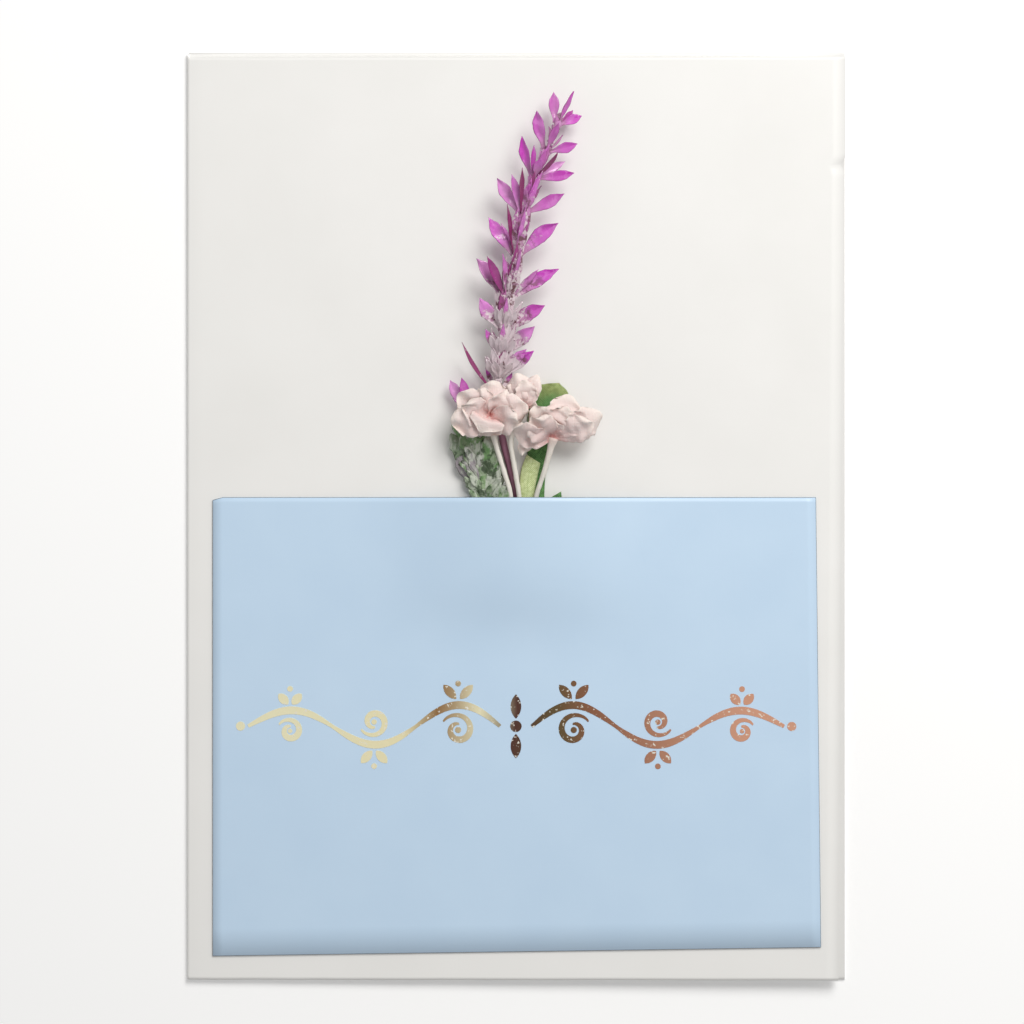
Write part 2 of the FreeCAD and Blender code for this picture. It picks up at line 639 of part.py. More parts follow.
def make_flowers():
    wire = size("flower_wire")
    foot = size("wire_end")
    make_flower(
        "left_flower", Vector(-4.0, 16.0, 4.3),
        [(Vector(-3.4, 21.5, 4.6), 5.4), (Vector(-9.0, 18.8, 4.8), 4.2), (Vector(-10.3, 15.0, 5.4), 4.8),
         (Vector(-5.4, 12.8, 4.9), 5.6), (Vector(2.0, 17.2, 5.4), 5.4)],
        [(Vector(0.6, 15.2, 6.4), 5.2), (Vector(-8.4, 17.4, 6.4), 4.4), (Vector(-5.6, 20.2, 6.4), 3.4),
         (Vector(-5.2, 13.4, 7.2), 5.4), (Vector(-1.2, 19.6, 6.2), 4.0)],
        [Vector(-3.4, 12.0, 2.8), Vector(-0.6, 3.0, 1.6),
         band_place(0, band_top, wire), band_place(0, foot, wire)])
    make_flower(
        "back_flower", Vector(1.4, 17.2, 3.2),
        [(Vector(0.2, 22.7, 3.4), 4.2), (Vector(3.6, 22.4, 3.4), 3.0), (Vector(2.6, 18.9, 3.2), 3.0),
         (Vector(-1.3, 20.8, 3.4), 3.6), (Vector(-0.6, 17.6, 3.2), 2.8)],
        [(Vector(1.4, 21.6, 4.8), 3.6), (Vector(2.9, 20.4, 4.6), 2.8), (Vector(0.2, 20.2, 4.6), 2.2)],
        [Vector(-1.0, 12.5, 2.9), Vector(0.6, 3.0, 1.6),
         band_place(2, band_top, wire), band_place(2, foot, wire)])
    make_flower(
        "right_flower", Vector(6.0, 12.6, 3.8),
        [(Vector(8.6, 19.2, 4.6), 6.0), (Vector(13.7, 16.2, 4.6), 5.4), (Vector(2.6, 17.2, 4.6), 4.8),
         (Vector(-0.8, 14.0, 4.6), 4.2), (Vector(0.9, 9.7, 3.6), 2.2, Vector(1.8, 13.0, 4.3))],
        [(Vector(2.6, 15.6, 6.8), 5.2), (Vector(8.8, 16.8, 7.2), 5.6), (Vector(12.4, 14.6, 6.2), 4.4),
         (Vector(5.4, 15.4, 6.6), 4.0)],
        [Vector(4.6, 7.2, 2.4), Vector(3.1, 3.0, 1.4),
         band_place(3, band_top, wire), band_place(3, foot, wire)])


make_flowers()


# Woven leaves: flat blades with rounded outlines, tucked in the pocket's mouth.
def make_leaf(label, left_side, right_side, level):
    """A blade between two smooth sides, both given from its foot to its tip."""
    sides = []
    for side in (left_side, right_side):
        curve = Part.BSplineCurve()
        curve.interpolate([Vector(x, y, 0) for x, y in side])
        sides.append(curve.toShape())
    ends = [
        Part.LineSegment(Vector(*left_side[0], 0), Vector(*right_side[0], 0)).toShape(),
        Part.LineSegment(Vector(*left_side[-1], 0), Vector(*right_side[-1], 0)).toShape(),
    ]
    outline = Part.Wire(Part.__sortEdges__(sides + ends))
    cloth = Part.Face(outline).extrude(Vector(0, 0, size("leaf_cloth")))
    new_shape(label, cloth, Placement(Vector(0, 0, level), Rotation()))


def make_leaves():
    bottom = size("resting_gap")
    make_leaf("fabric_leaf",
              [(2.8, -3.0), (1.9, 8.0), (1.9, 16.0), (3.2, 20.8)],
              [(4.4, -3.0), (4.9, 8.0), (7.6, 15.0), (8.4, 19.2), (7.2, 21.2)], bottom)
    make_leaf("pale_leaf",
              [(0.8, 1.2), (0.6, 4.0), (0.8, 7.2), (1.7, 9.8)],
              [(2.7, 1.2), (3.1, 4.6), (3.9, 8.4)], 3 * bottom + size("leaf_cloth"))
    make_leaf("small_leaf",
              [(4.9, -3.0), (4.6, 0.5), (4.9, 2.6)],
              [(6.4, -3.0), (7.4, 1.0), (7.2, 3.9)], 3 * bottom + size("leaf_cloth"))


make_leaves()


# Band of floral tape around the four wires inside the pocket.
def make_stem_wrap():
    wrap = new_body("stem_wrap")
    sketch = new_sketch(wrap, "BandSection", "XZ_Plane", "-Sizes.wrap_level")
    middle = "Sizes.bundle_middle"
    inside = "(Sizes.wire_pitch * 1.5 + Sizes.flower_wire / 2 + Sizes.resting_gap)"
    outside = "(%s + Sizes.wrap_thick)" % inside
    low = "Sizes.wrap_thick"
    high = "Sizes.wrap_thick + 2 * Sizes.resting_gap + Sizes.flower_wire"
    for reach, foot, head in ((outside, "0", high + " + Sizes.wrap_thick"), (inside, low, high)):
        left = "%s - %s" % (middle, reach)
        right = "%s + %s" % (middle, reach)
        draw_outline(sketch, [(left, foot), (right, foot), (right, head), (left, head)])
    pad(wrap, sketch, "Sizes.wrap_length")


make_stem_wrap()


# Check every object, then write one file for each piece.
doc.recompute()
for item in doc.Objects:
    if "Invalid" in item.State or "Error" in item.State:
        raise RuntimeError("%s did not build: %s" % (item.Label, item.State))
for piece in pieces:
    if piece.Shape.isNull() or not piece.Shape.isValid():
        raise RuntimeError("%s has no valid shape" % piece.Label)
os.makedirs("parts", exist_ok=True)
for piece in pieces:
    piece.Shape.exportStep(os.path.join("parts", piece.Label + ".step"))
    box = piece.Shape.BoundBox
    print("%-22s solids %d  volume %8.2f  z %5.2f to %5.2f" % (
        piece.Label, len(piece.Shape.Solids), piece.Shape.Volume, box.ZMin, box.ZMax))
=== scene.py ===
# Greeting card with a small spray of artificial flowers tucked in its pocket.
# Lengths in the dictionaries are millimetres, measured on the front leaf of the card.
import math
import random

import bmesh
import bpy
import numpy as np
from mathutils import Matrix, Vector, noise


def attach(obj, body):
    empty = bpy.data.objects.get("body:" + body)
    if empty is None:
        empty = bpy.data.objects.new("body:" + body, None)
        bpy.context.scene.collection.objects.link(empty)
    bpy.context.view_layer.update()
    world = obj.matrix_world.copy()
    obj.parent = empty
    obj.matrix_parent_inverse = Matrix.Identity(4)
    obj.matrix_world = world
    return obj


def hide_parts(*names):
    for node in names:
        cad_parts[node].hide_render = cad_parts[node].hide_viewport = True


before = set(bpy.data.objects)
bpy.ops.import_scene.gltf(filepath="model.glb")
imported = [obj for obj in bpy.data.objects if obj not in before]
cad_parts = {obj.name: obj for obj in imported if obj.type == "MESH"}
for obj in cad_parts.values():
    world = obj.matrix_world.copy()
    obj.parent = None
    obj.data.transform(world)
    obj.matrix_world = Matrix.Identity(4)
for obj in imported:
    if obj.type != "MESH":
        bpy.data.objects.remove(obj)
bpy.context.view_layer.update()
millimetre = 0.001

cardSizes = {
    "width": 105,
    "height": 148,
    "board": 0.32,
    "foldInside": 0.12,
    "openingDegrees": 0.7,
    "frontShortTop": 0.8,       # the front leaf stops below the back leaf
    "edgeWander": 0.09,         # how far the cut edges wander inwards
}
# How short the front leaf is at its right edge, by height: a slanting cut with one dent.
frontEdgeShort = [(-74, 1.1), (55.1, 0.16), (56.5, 0.65), (57.9, 0), (74, 0)]
halfWidth = cardSizes["width"] / 2
halfHeight = cardSizes["height"] / 2
foldRadius = cardSizes["board"] + cardSizes["foldInside"]
openingSlope = math.radians(cardSizes["openingDegrees"])


# Turns millimetres on the front leaf, with z from its upper face, into the frame's metres.
def leafToWorld(points):
    points = np.asarray(points, float)
    across = points[..., 0] + halfWidth - foldRadius
    up = points[..., 2] + foldRadius
    x = foldRadius - halfWidth + across * math.cos(openingSlope) - up * math.sin(openingSlope)
    z = foldRadius + across * math.sin(openingSlope) + up * math.cos(openingSlope)
    return np.stack([x, points[..., 1], z], -1) * millimetre


# Building blocks for meshes: a form collects closed shells, and becomes one piece.
def newForm(*markNames):
    return {"points": [], "count": 0, "faces": [], "smooth": [], "cut": [],
            "marks": {name: [] for name in markNames}}


def addShell(form, points, faces, smooth, cut, marks):
    form["points"].append(points)
    form["faces"] += (np.asarray(faces) + form["count"]).tolist() if len(faces) else []
    form["smooth"] += smooth
    form["cut"] += cut
    form["count"] += len(points)
    for name, store in form["marks"].items():
        store.append(np.broadcast_to(marks.get(name, 0), len(points)))


# A sheet between two grids of points, closed by a rim.
def addSheet(form, upper, lower, marks, sharpRim=True):
    rows, columns = upper.shape[:2]
    size = rows * columns
    index = np.arange(size).reshape(rows, columns)
    quads = np.stack([index[:-1, :-1], index[:-1, 1:], index[1:, 1:], index[1:, :-1]], -1).reshape(-1, 4)
    loop = np.concatenate([index[0, :], index[1:, -1], index[-1, -2::-1], index[-2:0:-1, 0]])
    after = np.roll(loop, -1)
    rim = np.stack([after, loop, loop + size, after + size], -1)
    faces = np.concatenate([quads, quads[:, ::-1] + size, rim])
    plain = len(quads) * 2
    smooth = [True] * plain + [not sharpRim] * len(rim)
    cut = [0.0] * plain + [1.0] * len(rim)
    doubled = {name: np.tile(np.asarray(value, float).ravel(), 2) if np.ndim(value) else value
               for name, value in marks.items()}
    points = np.concatenate([upper.reshape(-1, 3), lower.reshape(-1, 3)])
    addShell(form, points, faces, smooth, cut, doubled)


# A tube along a path, with a radius and marks for each point of the path, closed by its end rings.
def addTube(form, path, radii, sides, marks, lumps=0.0, seed=0.0):
    path = np.asarray(path, float)
    count = len(path)
    tangents = np.gradient(path, axis=0)
    tangents /= np.linalg.norm(tangents, axis=1)[:, None]
    side = np.cross(tangents[0], [0.3, 0.2, 1.0])
    rings = []
    for i in range(count):
        side = side - tangents[i] * np.dot(side, tangents[i])
        side /= np.linalg.norm(side)
        other = np.cross(tangents[i], side)
        for k in range(sides):
            turn = 2 * math.pi * k / sides
            ray = side * math.cos(turn) + other * math.sin(turn)
            bump = lumps * noise.noise(Vector(path[i] * 1.3 + ray * 2 + seed)) if lumps else 0
            rings.append(path[i] + ray * (radii[i] + bump))
    index = np.arange(count * sides).reshape(count, sides)
    right = np.roll(index, -1, axis=1)
    quads = np.stack([index[:-1], right[:-1], right[1:], index[1:]], -1).reshape(-1, 4)
    middles = np.array([path[0], path[-1]])
    first, last = count * sides, count * sides + 1
    caps = [[index[0][(k + 1) % sides], index[0][k], first, first] for k in range(sides)]
    caps += [[index[-1][k], index[-1][(k + 1) % sides], last, last] for k in range(sides)]
    points = np.concatenate([np.array(rings), middles])
    spread = {}
    for name, value in marks.items():
        along = np.broadcast_to(value, count)
        spread[name] = np.concatenate([np.repeat(along, sides), along[[0, -1]]])
    addShell(form, points, np.concatenate([quads, np.array(caps)]), [True] * (len(quads) + len(caps)),
             [0.0] * len(quads) + [1.0] * len(caps), spread)


def buildPiece(name, form, material, replaced, onLeaf=True):
    points = np.concatenate(form["points"])
    points = leafToWorld(points) if onLeaf else points * millimetre
    faces = [face[:3] if face[2] == face[3] else face for face in form["faces"]]
    mesh = bpy.data.meshes.new(name)
    mesh.from_pydata(points.tolist(), [], faces)
    mesh.polygons.foreach_set("use_smooth", form["smooth"])
    mesh.attributes.new("cut", "FLOAT", "FACE").data.foreach_set("value", form["cut"])
    for markName, values in form["marks"].items():
        mark = mesh.attributes.new(markName, "FLOAT", "POINT")
        mark.data.foreach_set("value", np.concatenate(values).astype(float))
    tidy = bmesh.new()
    tidy.from_mesh(mesh)
    bmesh.ops.recalc_face_normals(tidy, faces=tidy.faces)
    tidy.to_mesh(mesh)
    tidy.free()
    mesh.materials.append(material)
    piece = bpy.data.objects.new(name, mesh)
    bpy.context.scene.collection.objects.link(piece)
    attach(piece, "root")
    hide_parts(*replaced)
    return piece


# Straight runs joined by rounded corners, sampled evenly enough for a tube.
def roundedPath(points, reachShare, cornerSteps=6, runSteps=4):
    points = [np.asarray(point, float) for point in points]
    spots = [points[0]]
    for before, corner, after in zip(points, points[1:], points[2:]):
        reach = reachShare * min(np.linalg.norm(before - corner), np.linalg.norm(after - corner))
        start = corner + (before - corner) / np.linalg.norm(before - corner) * reach
        end = corner + (after - corner) / np.linalg.norm(after - corner) * reach
        last = spots[-1]
        spots += [last + (start - last) * share for share in np.linspace(0, 1, runSteps + 1)[1:]]
        for share in np.linspace(0, 1, cornerSteps + 1)[1:]:
            spots.append(start * (1 - share) ** 2 + corner * 2 * share * (1 - share) + end * share ** 2)
    last = spots[-1]
    spots += [last + (points[-1] - last) * share for share in np.linspace(0, 1, runSteps + 1)[1:]]
    return np.array(spots)


# A smooth curve through points, each span bent by its neighbours.
def throughPoints(points, count):
    points = np.asarray(points, float)
    padded = np.vstack([2 * points[0] - points[1], points, 2 * points[-1] - points[-2]])
    spots = []
    for place in np.linspace(0, len(points) - 1, count):
        i = min(int(place), len(points) - 2)
        t = place - i
        a, b, c, d = padded[i:i + 4]
        spots.append(0.5 * (2 * b + (c - a) * t + (2 * a - 5 * b + 4 * c - d) * t ** 2
                            + (3 * b - a - 3 * c + d) * t ** 3))
    return np.array(spots)


# Weights of a clamped cubic surface's control points at each place from 0 to 1.
def cubicWeights(count, places):
    degree = 3
    spans = count - degree
    knots = np.concatenate([[0] * degree, np.arange(spans + 1), [spans] * degree]).astype(float)
    t = np.minimum(np.asarray(places) * spans, spans - 1e-9)
    weights = [((knots[i] <= t) & (t < knots[i + 1])).astype(float) for i in range(len(knots) - 1)]
    for step in range(1, degree + 1):
        raised = []
        for i in range(len(weights) - 1):
            left = knots[i + step] - knots[i]
            right = knots[i + step + 1] - knots[i + 1]
            value = np.zeros_like(t)
            if left > 0:
                value += (t - knots[i]) / left * weights[i]
            if right > 0:
                value += (knots[i + step + 1] - t) / right * weights[i + 1]
            raised.append(value)
        weights = raised
    return np.stack(weights, 1)


# Turn of a blade that reaches one way with its face to another, then rolls about its own length.
def bladeTurn(reach, facing, roll=0.0):
    along = reach / np.linalg.norm(reach)
    normal = facing - along * np.dot(facing, along)
    normal /= np.linalg.norm(normal)
    turn = np.stack([np.cross(along, normal), along, normal], 1)
    return turn @ np.array(Matrix.Rotation(math.radians(roll), 3, "Y"))


def wander(value, seed, scale=0.09):
    return noise.noise(Vector((value * scale, seed, 0.37)))


# Shader helpers: colours are written as they show on screen, from 0 to 255.
def paint(red, green, blue):
    levels = []
    for level in (red, green, blue):
        level = level / 255
        levels.append(level / 12.92 if level <= 0.04045 else ((level + 0.055) / 1.055) ** 2.4)
    return (*levels, 1.0)


def plug(tree, value, socket):
    if isinstance(value, bpy.types.NodeSocket):
        tree.links.new(value, socket)
    else:
        socket.default_value = value


def calc(tree, operation, *values, clamp=False):
    node = tree.nodes.new("ShaderNodeMath")
    node.operation = operation
    node.use_clamp = clamp
    for socket, value in zip(node.inputs, values):
        plug(tree, value, socket)
    return node.outputs[0]


def mixColours(tree, factor, first, second, blend="MIX"):
    node = tree.nodes.new("ShaderNodeMix")
    node.data_type = "RGBA"
    node.blend_type = blend
    plug(tree, factor, node.inputs[0])
    plug(tree, first, node.inputs[6])
    plug(tree, second, node.inputs[7])
    return node.outputs[2]


def remap(tree, value, low, high, toLow=0.0, toHigh=1.0):
    node = tree.nodes.new("ShaderNodeMapRange")
    node.interpolation_type = "SMOOTHSTEP"
    for socket, amount in zip(node.inputs, (value, low, high, toLow, toHigh)):
        plug(tree, amount, socket)
    return node.outputs[0]


def ramp(tree, factor, stops):
    node = tree.nodes.new("ShaderNodeValToRGB")
    elements = node.color_ramp.elements
    while len(elements) < len(stops):
        elements.new(1.0)
    for element, (place, colour) in zip(elements, stops):
        element.position = place
        element.color = colour
    plug(tree, factor, node.inputs[0])
    return node.outputs[0]


def readMark(tree, name):
    node = tree.nodes.new("ShaderNodeAttribute")
    node.attribute_name = name
    return node.outputs["Fac"]


def noiseMap(tree, scale, detail=3.0, stretch=None, roughness=0.5):
    place = tree.nodes.new("ShaderNodeTexCoord").outputs["Object"]
    if stretch:
        node = tree.nodes.new("ShaderNodeVectorMath")
        node.operation = "MULTIPLY"
        tree.links.new(place, node.inputs[0])
        node.inputs[1].default_value = stretch
        place = node.outputs[0]
    node = tree.nodes.new("ShaderNodeTexNoise")
    tree.links.new(place, node.inputs["Vector"])
    plug(tree, scale, node.inputs["Scale"])
    node.inputs["Detail"].default_value = detail
    node.inputs["Roughness"].default_value = roughness
    return node.outputs[0]


def newGroup(name, inputs, outputs):
    group = bpy.data.node_groups.new(name, "ShaderNodeTree")
    for label, value in inputs:
        socket = group.interface.new_socket(label, in_out="INPUT", socket_type="NodeSocketFloat")
        socket.default_value = value
    for label in outputs:
        group.interface.new_socket(label, in_out="OUTPUT", socket_type="NodeSocketFloat")
    return group, group.nodes.new("NodeGroupInput").outputs, group.nodes.new("NodeGroupOutput").inputs


def useGroup(tree, group, **values):
    node = tree.nodes.new("ShaderNodeGroup")
    node.node_tree = group
    for label, value in values.items():
        plug(tree, value, node.inputs[label])
    return node.outputs


def newMaterial(name, roughness, coat=0.0):
    material = bpy.data.materials.new(name)
    material.use_nodes = True
    tree = material.node_tree
    surface = tree.nodes["Principled BSDF"]
    surface.inputs["Roughness"].default_value = roughness
    surface.inputs["Coat Weight"].default_value = coat
    return material, tree, surface.inputs


def addBump(tree, inputs, height, distance, strength=1.0):
    node = tree.nodes.new("ShaderNodeBump")
    node.inputs["Strength"].default_value = strength
    node.inputs["Distance"].default_value = distance * millimetre
    tree.links.new(height, node.inputs["Height"])
    tree.links.new(node.outputs[0], inputs["Normal"])


# Soft clouds and fine fibres of paper.
def makePaperGroup():
    group, inputs, outputs = newGroup("paperFibre", [("Scale", 300.0)], ["Cloud", "Fibre"])
    cloud = noiseMap(group, inputs["Scale"], 4.0)
    fine = calc(group, "MULTIPLY", inputs["Scale"], 9.0)
    along = noiseMap(group, fine, 2.0, (1.0, 0.16, 1.0))
    across = noiseMap(group, fine, 2.0, (0.2, 1.0, 1.0))
    group.links.new(cloud, outputs["Cloud"])
    group.links.new(calc(group, "MAXIMUM", along, across), outputs["Fibre"])
    return group


# Pale grains that lie on the high spots, and the hollows between them, which the materials darken as painted shade.
def makeFrostGroup():
    group, inputs, outputs = newGroup("frostGrain", [("Scale", 1500.0), ("Cover", 0.5)],
                                      ["Grain", "HollowShade", "Height"])
    coarse = noiseMap(group, calc(group, "MULTIPLY", inputs["Scale"], 0.35), 3.0, roughness=0.65)
    grains = noiseMap(group, inputs["Scale"], 2.0, roughness=0.7)
    blend = calc(group, "ADD", calc(group, "MULTIPLY", coarse, 0.6), calc(group, "MULTIPLY", grains, 0.4))
    edge = calc(group, "SUBTRACT", 0.68, calc(group, "MULTIPLY", inputs["Cover"], 0.36))
    group.links.new(remap(group, blend, edge, calc(group, "ADD", edge, 0.07)), outputs["Grain"])
    group.links.new(remap(group, coarse, 0.46, 0.36), outputs["HollowShade"])
    group.links.new(blend, outputs["Height"])
    return group


# Threads over and under each other.
def makeWeaveGroup():
    group, inputs, outputs = newGroup("clothWeave", [("Pitch", 0.0004)], ["Thread", "Height"])
    place = group.nodes.new("ShaderNodeTexCoord").outputs["Object"]
    axes = group.nodes.new("ShaderNodeSeparateXYZ")
    group.links.new(place, axes.inputs[0])
    turns = calc(group, "DIVIDE", math.pi, inputs["Pitch"])
    waves = []
    for axis in (0, 1):
        wave = calc(group, "SINE", calc(group, "MULTIPLY", axes.outputs[axis], turns))
        waves.append(wave)
    product = calc(group, "MULTIPLY", waves[0], waves[1])
    slubs = noiseMap(group, 2200.0, 2.0)
    height = calc(group, "ADD", calc(group, "MULTIPLY", product, 0.22), slubs)
    group.links.new(remap(group, height, 0.2, 0.8), outputs["Thread"])
    group.links.new(height, outputs["Height"])
    return group


paperGroup = makePaperGroup()
frostGroup = makeFrostGroup()
weaveGroup = makeWeaveGroup()
print("stage: shader groups made")


# Coated white board of the card, with a painted highlight where it is cut.
def makeWhiteCard():
    material, tree, inputs = newMaterial("whiteCard", 0.42)
    paper = useGroup(tree, paperGroup, Scale=60.0)
    shade = mixColours(tree, paper["Cloud"], paint(237, 236, 233), paint(243, 242, 240))
    # Cut rims take a paler colour: a painted highlight along the card's edges.
    plug(tree, mixColours(tree, readMark(tree, "cut"), shade, paint(250, 250, 249)), inputs["Base Color"])
    plug(tree, remap(tree, paper["Cloud"], 0.3, 0.7, 0.36, 0.48), inputs["Roughness"])
    addBump(tree, inputs, paper["Fibre"], 0.012)
    return material


# Pale-blue coated paper, with painted shade along its cut edge.
def makeBluePaper():
    material, tree, inputs = newMaterial("bluePaper", 0.4)
    paper = useGroup(tree, paperGroup, Scale=90.0)
    shade = mixColours(tree, paper["Cloud"], paint(194, 218, 241), paint(201, 224, 245))
    # The cut rim is painted dark: painted shade along the edge of the sheet.
    plug(tree, mixColours(tree, readMark(tree, "cut"), shade, paint(76, 92, 108)), inputs["Base Color"])
    plug(tree, remap(tree, paper["Cloud"], 0.3, 0.7, 0.34, 0.46), inputs["Roughness"])
    addBump(tree, inputs, paper["Fibre"], 0.012)
    return material


# Magenta plastic: dusty feet, lilac patches, dark rims, and grey-pink frost towards the spike's foot, with one flank
# of each blade painted lighter as painted light and its hollows darkened as painted shade.
def makePurpleBract():
    material, tree, inputs = newMaterial("purpleBract", 0.34, coat=0.6)
    along = readMark(tree, "along")
    patches = noiseMap(tree, 620.0, 4.0, roughness=0.6)
    place = calc(tree, "ADD", along, calc(tree, "MULTIPLY", calc(tree, "SUBTRACT", patches, 0.5), 0.4))
    body = ramp(tree, place, [
        (0.0, paint(178, 138, 158)),
        (0.2, paint(204, 138, 190)),
        (0.4, paint(210, 92, 200)),
        (0.75, paint(208, 54, 196)),
        (1.0, paint(180, 36, 168)),
    ])
    # One flank of each blade is painted lighter towards its tip: painted light on the side facing the lamp.
    half = calc(tree, "MULTIPLY", remap(tree, readMark(tree, "flank"), 0.44, 0.56, 0.0, 0.45), along)
    flankLitColour = mixColours(tree, half, body, paint(232, 134, 226))
    light = mixColours(tree, remap(tree, patches, 0.5, 0.62, 0.0, 0.6), flankLitColour, paint(228, 140, 222))
    lilac = mixColours(tree, calc(tree, "MULTIPLY", readMark(tree, "lilac"), 0.8), light, paint(226, 166, 218))
    cover = calc(tree, "MULTIPLY", readMark(tree, "frost"), remap(tree, along, 0.95, 0.35, 0.1, 1.0))
    dusty = mixColours(tree, remap(tree, cover, 0.25, 0.7, 0.0, 0.85), lilac, paint(184, 150, 168))
    shaded = mixColours(tree, readMark(tree, "shade"), dusty, paint(140, 46, 104))
    rim = remap(tree, readMark(tree, "across"), 0.9, 1.0, 0.0, 0.85)
    rimmed = mixColours(tree, rim, shaded, paint(112, 44, 88))
    frost = useGroup(tree, frostGroup, Scale=1900.0, Cover=cover)
    # Hollows in the frost are darkened brown: painted shade in the recesses.
    creviceShade = calc(tree, "MULTIPLY", frost["HollowShade"], remap(tree, cover, 0.0, 0.6, 0.0, 0.9))
    creviceShaded = mixColours(tree, creviceShade, rimmed, paint(104, 62, 62))
    grain = calc(tree, "MULTIPLY", frost["Grain"], remap(tree, cover, 0.0, 0.3))
    plug(tree, mixColours(tree, grain, creviceShaded, paint(222, 206, 212)), inputs["Base Color"])
    plug(tree, remap(tree, cover, 0.0, 0.7, 0.24, 0.75), inputs["Roughness"])
    addBump(tree, inputs, frost["Height"], 0.12)
    return material


def makeSpikeWire():
    material, tree, inputs = newMaterial("spikeWire", 0.5)
    paper = useGroup(tree, paperGroup, Scale=500.0)
    plug(tree, mixColours(tree, paper["Cloud"], paint(134, 84, 106), paint(162, 112, 134)), inputs["Base Color"])
    addBump(tree, inputs, paper["Fibre"], 0.05)
    return material


# Sage-green plastic under streaks of pale frost, with hollows darkened as painted shade.
def makeFrostedGreen():
    material, tree, inputs = newMaterial("frostedGreen", 0.65)
    patches = noiseMap(tree, 420.0, 4.0, roughness=0.6)
    green = mixColours(tree, remap(tree, patches, 0.38, 0.62), paint(92, 140, 74), paint(142, 166, 124))
    pale = mixColours(tree, readMark(tree, "pale"), green, paint(178, 190, 166))
    body = mixColours(tree, readMark(tree, "lilac"), pale, paint(160, 148, 158))
    streaks = noiseMap(tree, 900.0, 3.0, (1.0, 0.3, 1.0), 0.6)
    streaked = mixColours(tree, remap(tree, streaks, 0.48, 0.58, 0.0, 0.85), body, paint(198, 203, 190))
    frost = useGroup(tree, frostGroup, Scale=1300.0, Cover=0.4)
    # Hollows in the frost are darkened: painted shade in the recesses.
    dark = mixColours(tree, calc(tree, "MULTIPLY", frost["HollowShade"], 0.9), streaked, paint(66, 84, 58))
    edged = mixColours(tree, remap(tree, readMark(tree, "across"), 0.84, 1.0, 0, 0.4), dark, paint(88, 98, 78))
    plug(tree, mixColours(tree, calc(tree, "MULTIPLY", frost["Grain"], 0.6), edged, paint(198, 202, 190)),
         inputs["Base Color"])
    addBump(tree, inputs, frost["Height"], 0.16)
    return material


# Pale-pink handmade paper: deep pink at the heart, creamy at the rim.
def makePinkPaper():
    material, tree, inputs = newMaterial("pinkPaper", 0.75)
    paper = useGroup(tree, paperGroup, Scale=420.0)
    place = calc(tree, "ADD", readMark(tree, "along"),
                 calc(tree, "MULTIPLY", calc(tree, "SUBTRACT", paper["Cloud"], 0.5), 0.3))
    body = ramp(tree, place, [
        (0.0, paint(224, 156, 152)),
        (0.14, paint(230, 184, 180)),
        (0.34, paint(235, 204, 200)),
        (0.75, paint(239, 217, 212)),
        (1.0, paint(246, 232, 223)),
    ])
    veined = mixColours(tree, remap(tree, paper["Fibre"], 0.56, 0.76, 0, 0.5), body, paint(252, 240, 234))
    lit = remap(tree, readMark(tree, "across"), 0.88, 1.0, 0, 0.55)
    plug(tree, mixColours(tree, lit, veined, paint(250, 240, 230)), inputs["Base Color"])
    inputs["Subsurface Weight"].default_value = 0.12
    inputs["Subsurface Radius"].default_value = (0.0012, 0.0006, 0.0005)
    inputs["Subsurface Scale"].default_value = 1.0
    addBump(tree, inputs, paper["Fibre"], 0.13)
    return material


def makeCreamPaper():
    material, tree, inputs = newMaterial("creamPaper", 0.7)
    paper = useGroup(tree, paperGroup, Scale=500.0)
    body = mixColours(tree, paper["Cloud"], paint(222, 216, 204), paint(240, 237, 230))
    plug(tree, mixColours(tree, readMark(tree, "along"), body, paint(238, 214, 206)), inputs["Base Color"])
    addBump(tree, inputs, paper["Fibre"], 0.08)
    return material


# Woven leaf cloth: dark green low in the bunch, painted shade under the flower, and olive in the light.
def makeWovenLeaf():
    material, tree, inputs = newMaterial("wovenLeaf", 0.65)
    weave = useGroup(tree, weaveGroup, Pitch=0.00019)
    patches = noiseMap(tree, 400.0, 3.0)
    place = calc(tree, "ADD", readMark(tree, "along"),
                 calc(tree, "MULTIPLY", calc(tree, "SUBTRACT", patches, 0.5), 0.2))
    # Dark green low on the leaf is painted shade under the flower; olive higher up is the lit leaf.
    low = mixColours(tree, weave["Thread"], paint(62, 104, 50), paint(98, 148, 80))
    high = mixColours(tree, weave["Thread"], paint(122, 138, 76), paint(158, 174, 110))
    body = mixColours(tree, remap(tree, place, 0.62, 0.78), low, high)
    tan = calc(tree, "MULTIPLY", remap(tree, place, 0.93, 1.02), remap(tree, readMark(tree, "across"), 0.3, 0.9))
    plug(tree, mixColours(tree, tan, body, paint(186, 160, 122)), inputs["Base Color"])
    addBump(tree, inputs, weave["Height"], 0.07)
    return material


def makePaleLeaf():
    material, tree, inputs = newMaterial("paleLeaf", 0.65)
    weave = useGroup(tree, weaveGroup, Pitch=0.00017)
    cloth = mixColours(tree, weave["Thread"], paint(176, 190, 128), paint(214, 224, 172))
    vein = remap(tree, readMark(tree, "across"), 0.12, 0.0, 0, 0.35)
    plug(tree, mixColours(tree, vein, cloth, paint(150, 168, 104)), inputs["Base Color"])
    addBump(tree, inputs, weave["Height"], 0.06)
    return material
